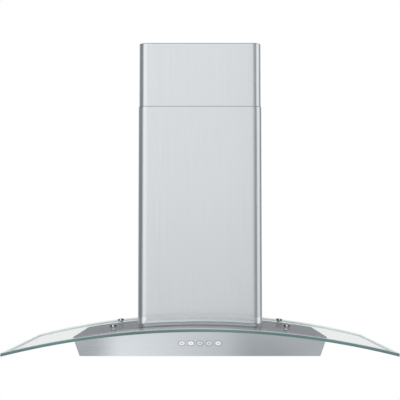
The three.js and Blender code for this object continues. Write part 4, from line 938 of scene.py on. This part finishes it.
def underside_screws():
    low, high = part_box("bottom_panel")
    left, right = ends(low.x, high.x, SHELF_INSET)
    front, back = ends(low.y, high.y, SHELF_INSET)
    middle = (low.y + high.y) / 2
    spots = [(left, front), (left, middle), (left, back), (right, front), (right, middle), (right, back),
             (0, middle + UNDERSIDE_SHIFT), (0, back), (0, front)]
    screws("underside_screws", (0, 0, -1), [(x, y, low.z) for x, y in spots], 3)


def collar_screws():
    low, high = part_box("duct_collar")
    spots = [(x, y, low.z + COLLAR_BASE) for x in ends(low.x, high.x, SHELF_INSET)
             for y in ends(low.y, high.y, SHELF_INSET)]
    screws("collar_screws", (0, 0, 1), spots, 5)


def electrics_screws():
    """Four in the junction box's lid, and two in the ears of the capacitor's clip."""
    low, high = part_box("junction_box_cover")
    lid = [(x, high.y, z) for x in ends(low.x, high.x, LID_INSET) for z in ends(low.z, high.z, LID_INSET)]
    low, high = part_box("capacitor_clip")
    clip = [((low.x + high.x) / 2, low.y + CLIP_SHEET, z) for z in ends(low.z, high.z, CLIP_INSET)]
    screws("electrics_screws", (0, 1, 0), lid + clip, 7)


def driver_screws():
    low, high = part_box("lamp_driver")
    spots = [(x, (low.y + high.y) / 2, low.z + DRIVER_FOOT) for x in ends(low.x, high.x, DRIVER_INSET)]
    screws("driver_screws", (0, 0, 1), spots, 11)


def bracket_screws():
    """Four round the rim of the motor's bracket."""
    low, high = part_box("motor_bracket")
    middle, height = (low.y + high.y) / 2, (low.z + high.z) / 2
    reach = (high.z - low.z) / 2 - BRACKET_INSET
    spots = [(low.x, middle + reach * cos(radians(a)), height + reach * sin(radians(a)))
             for a in (45, 135, 225, 315)]
    screws("bracket_screws", (-1, 0, 0), spots, 13)


def cover_screws():
    """One in either side of the lower cover, into its bracket."""
    low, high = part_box("chimney_bracket_lower")
    height = (low.z + high.z) / 2
    low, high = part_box("lower_chimney")
    for name, side, facing in (("left_cover_screws", low.x, -1), ("right_cover_screws", high.x, 1)):
        screws(name, (facing, 0, 0), [(side, -COVER_SCREW_DEPTH, height)], 17)


# Lamps

LENS_LAP = 2 * MM  # of the bezel's lip under the lens
LENS_RINGS = (2 * MM, 0.35 * MM)  # spacing and depth of the moulded rings
LENS_HOLLOW = 0.2 * MM  # at the middle
BEZEL_FLANGE = 3 * MM  # from the neck to the outer edge
BEZEL_ROLL = 1.2 * MM  # radius of the rolled rim
BEZEL_CHAMFER = 0.5 * MM  # round the window
LAMP_STEPS = 72


def lamp_centre(side):
    low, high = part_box(f"lamp_bezel_{side}")
    return (low.x + high.x) / 2, (low.y + high.y) / 2, 0


def lamp_bezel(side):
    """A chromed ring with a rolled rim."""
    node = f"lamp_bezel_{side}"
    low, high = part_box(node)
    lens_low, lens_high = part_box(f"lamp_lens_{side}")
    outer, lens = (high.x - low.x) / 2, (lens_high.x - lens_low.x) / 2
    window, bore, neck = lens - LENS_LAP, lens + GAP, outer - BEZEL_FLANGE
    seat = lens_low.z - GAP
    roll = [(outer - BEZEL_ROLL * (1 - sin(a)), low.z + BEZEL_ROLL * (1 - cos(a))) for a in quarter(5)]
    bm = bmesh.new()
    turned(bm, [(window, low.z + BEZEL_CHAMFER), (window + BEZEL_CHAMFER, low.z), *roll, (neck, roll[-1][1]),
                (neck, high.z), (bore, high.z), (bore, seat), (window, seat)], lamp_centre(side), LAMP_STEPS)
    stand_in(finish_mesh(f"{node}_turned", bm, [chrome]), node)


def lamp_lens(side):
    """Pale glass with rings moulded into its underside."""
    node = f"lamp_lens_{side}"
    low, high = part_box(node)
    radius = (high.x - low.x) / 2
    window = radius - LENS_LAP
    pitch, depth = LENS_RINGS
    rings = []
    for i in range(1, int(window / pitch)):
        rings += [(i * pitch - pitch / 2, low.z), (i * pitch, low.z + depth)]
    bm = bmesh.new()
    turned(bm, [(0, low.z + LENS_HOLLOW), *rings, (window, low.z), (radius, low.z), (radius, high.z),
                (0, high.z)], lamp_centre(side), LAMP_STEPS)
    stand_in(finish_mesh(f"{node}_moulded", bm, [lens_glass], 50), node)


glass_canopy()
glass_fixings()
chimney("lower_chimney", 0.0, True)
chimney("upper_chimney", SHEET + SLIDE_CLEARANCE, False)
push_buttons()
grease_filters()
for side in SIDES:
    lamp_bezel(side)
    lamp_lens(side)
underside_screws()
collar_screws()
electrics_screws()
driver_screws()
bracket_screws()
cover_screws()

dressed("body_wrap", level_steel)
dressed("top_plate", plate_steel, edge=0)
dressed("bottom_panel", underside_steel, edge=THIN_BREAK)
dressed("back_panel", galvanised)
dressed("blower_box", galvanised, edge=0.4 * MM)
dressed("switch_bezel", bezel_plastic, edge=0.15 * MM)
dressed("switch_block", black_plastic)
dressed("duct_collar", black_plastic, edge=0.3 * MM)
dressed("scroll_housing", grey_plastic, edge=0.3 * MM)
dressed("impeller", black_plastic, edge=0)
for flap in ("damper_flap_front", "damper_flap_rear"):
    dressed(flap, grey_plastic, edge=0.2 * MM)
for case in ("junction_box", "junction_box_cover"):
    dressed(case, grey_plastic)
dressed("cable_gland", black_plastic)
dressed("capacitor", ivory_plastic)
dressed("capacitor_clip", zinc, edge=0.2 * MM)
dressed("lamp_driver", ivory_plastic, edge=0.6 * MM)
for metal_part in ("motor", "motor_shaft", "wall_screw_left", "wall_screw_right"):
    dressed(metal_part, zinc)
for sheet_part in ("motor_bracket", "chimney_bracket_lower", "chimney_bracket_upper"):
    dressed(sheet_part, galvanised)
for side in SIDES:
    dressed(f"filter_frame_{side}", aluminium)
    dressed(f"filter_latch_{side}", black_plastic)
    dressed(f"lamp_housing_{side}", aluminium)


# Studio

CARD_HALF = 0.6  # half its width
CARD_HEIGHTS = (-0.4, 1.4)
CARD_PLACE = -1.6
FLOOR_RADIUS = 6
FLOOR_DROP = 3.2  # below the hood
LAMP_AIM = (0, -0.2, 0.2)


def studio_world():
    """White to the eye and through glass, even for soft light, and banded bright and dark for metal."""
    world = bpy.data.worlds.new("studio")
    bpy.context.scene.world = world
    net = Net(world)
    x, y, z = [net.axis_of("ShaderNodeTexCoord", "Generated", name) for name in "XYZ"]
    bearing = x.math("ARCTAN2", 0.0 - y) / (2 * pi) + 0.5

    def at(degrees):
        return degrees / 360 + 0.5

    bands = net.ramp(bearing, [
        (0.0, 0.6), (at(-152), 0.6), (at(-142), 0.55), (at(-122), 0.5), (at(-114), 0.3), (at(-68), 0.3),
        (at(-52), 1.3), (at(-20), 1.3), (at(0), 1.0), (at(18), 0.85), (at(32), 0.38), (at(52), 0.34),
        (at(62), 1.2), (at(98), 1.2), (at(110), 0.36), (at(150), 0.4), (at(162), 0.6), (1.0, 0.6)])
    level = bands * z.ranged(-0.3, 0.35, 0.82, 1.18) * z.ranged(0.35, 0.7, 1.0, 0.6)
    mirrored = net.node("ShaderNodeLightPath", output="Is Glossy Ray")
    soft = net.node("ShaderNodeBackground", inputs=[(0.93, 0.95, 1.0, 1), 0.92])
    banded = net.node("ShaderNodeBackground", inputs=[(0.965, 0.985, 1.0, 1), level])
    white = net.node("ShaderNodeBackground", inputs=[(1, 1, 1, 1), 1.0])
    lit = net.node("ShaderNodeMixShader", inputs=[mirrored, soft, banded])
    shown = net.node("ShaderNodeMixShader", inputs=[net.seen(), lit, white])
    net.node("ShaderNodeOutputWorld", inputs={"Surface": shown})


def room_card():
    """The room in front, seen in reflections only: a bright window on the left and a dim doorway on the
    right, which fade upwards into an even, brighter ceiling."""
    made, net = material("room_reflection")
    x, z = net.axis("X"), net.axis("Z")

    def stop(place, level):
        shade = 0.08 * max(0.0, 1 - level)
        colour = (level * (0.985 - shade), level, level * (1.01 + shade), 1)
        return (place + CARD_HALF) / (2 * CARD_HALF), colour

    # Levels matched to the brightness along the body's front in the photograph. What stood there is a
    # guess: a dim corner, a window, the wall that it lights, a doorway's two sides and the wall past it
    across = net.ramp(x.ranged(-CARD_HALF, CARD_HALF), [
        stop(-0.41, 0.5), stop(-0.32, 1.3), stop(0.1, 0.75),
        stop(0.19, 0.42), stop(0.3, 0.42), stop(0.48, 0.72)])
    window, doorway = x.ranged(-0.46, -0.38, 1.2, 1.0), x.ranged(0.34, 0.46, 1.0, 0.5)
    ceiling = z.ranged(0.0, 0.5, 0.99, 1.12) + z.ranged(0.5, 1.1, 0.0, 0.06)
    above = ceiling * window * doorway * x.ranged(-0.3, 0.3, 0.97, 1.04)
    level = net.blend(z.ranged(-0.078, -0.05), across, above)
    net.surface(net.node("ShaderNodeEmission", inputs={"Color": level, "Strength": 1.0}))
    low, high = CARD_HEIGHTS
    corners = [(-CARD_HALF, low), (CARD_HALF, low), (CARD_HALF, high), (-CARD_HALF, high)]
    bm = bmesh.new()
    bm.faces.new([bm.verts.new((x, CARD_PLACE, z)) for x, z in corners])
    card = finish_mesh("room_card", bm, [made])
    card.visible_camera = False
    card.visible_diffuse = False
    card.visible_shadow = False
    card.visible_transmission = False


def studio_floor():
    """A pale disc below the hood that keeps its shadow and is white to the eye elsewhere."""
    made, net = material("pale_floor")
    pale = net.blend(net.noise(8.0, 4.0), *shades((1, 1, 1), 0.86, 0.88))
    base = principled(net, base_color=pale, roughness=0.85)
    glow = net.node("ShaderNodeEmission", inputs={"Color": (1, 0.93, 0.82, 1), "Strength": net.seen() * 0.25})
    net.surface(net.node("ShaderNodeAddShader", inputs=[base, glow]))
    bm = bmesh.new()
    bmesh.ops.create_circle(bm, cap_ends=True, segments=96, radius=FLOOR_RADIUS)
    bmesh.ops.translate(bm, verts=bm.verts, vec=(0, -0.1, cad_low.z - FLOOR_DROP))
    floor = finish_mesh("pale_floor", bm, [made])


def soft_lamp(name, place, width, power):
    """A large square lamp that metal doesn't mirror."""
    lamp = bpy.data.lights.new(name, "AREA")
    lamp.shape = "RECTANGLE"
    lamp.size = width
    lamp.size_y = width
    lamp.energy = power
    holder = bpy.data.objects.new(name, lamp)
    holder.location = place
    holder.rotation_euler = (Vector(LAMP_AIM) - Vector(place)).to_track_quat("-Z", "Y").to_euler()
    holder.visible_glossy = False
    bpy.context.scene.collection.objects.link(holder)


def photo_camera():
    data = bpy.data.cameras.new("photo_camera")
    data.sensor_width = SENSOR_WIDTH
    data.lens = SENSOR_WIDTH * FOCAL_PIXELS / PHOTO_PIXELS
    data.shift_y = (PRINCIPAL_ROW - PHOTO_PIXELS / 2) / PHOTO_PIXELS
    camera = bpy.data.objects.new("photo_camera", data)
    camera.location = CAMERA_PLACE
    camera.rotation_euler = (pi / 2 + CAMERA_TILT, 0, 0)
    bpy.context.scene.collection.objects.link(camera)
    bpy.context.scene.camera = camera


studio_world()
room_card()
studio_floor()
soft_lamp("key", (-1.4, -2.0, 1.9), 1.4, 18)
soft_lamp("fill", (1.8, -1.6, 0.8), 1.2, 6)
photo_camera()
bpy.context.scene.view_settings.view_transform = "Standard"
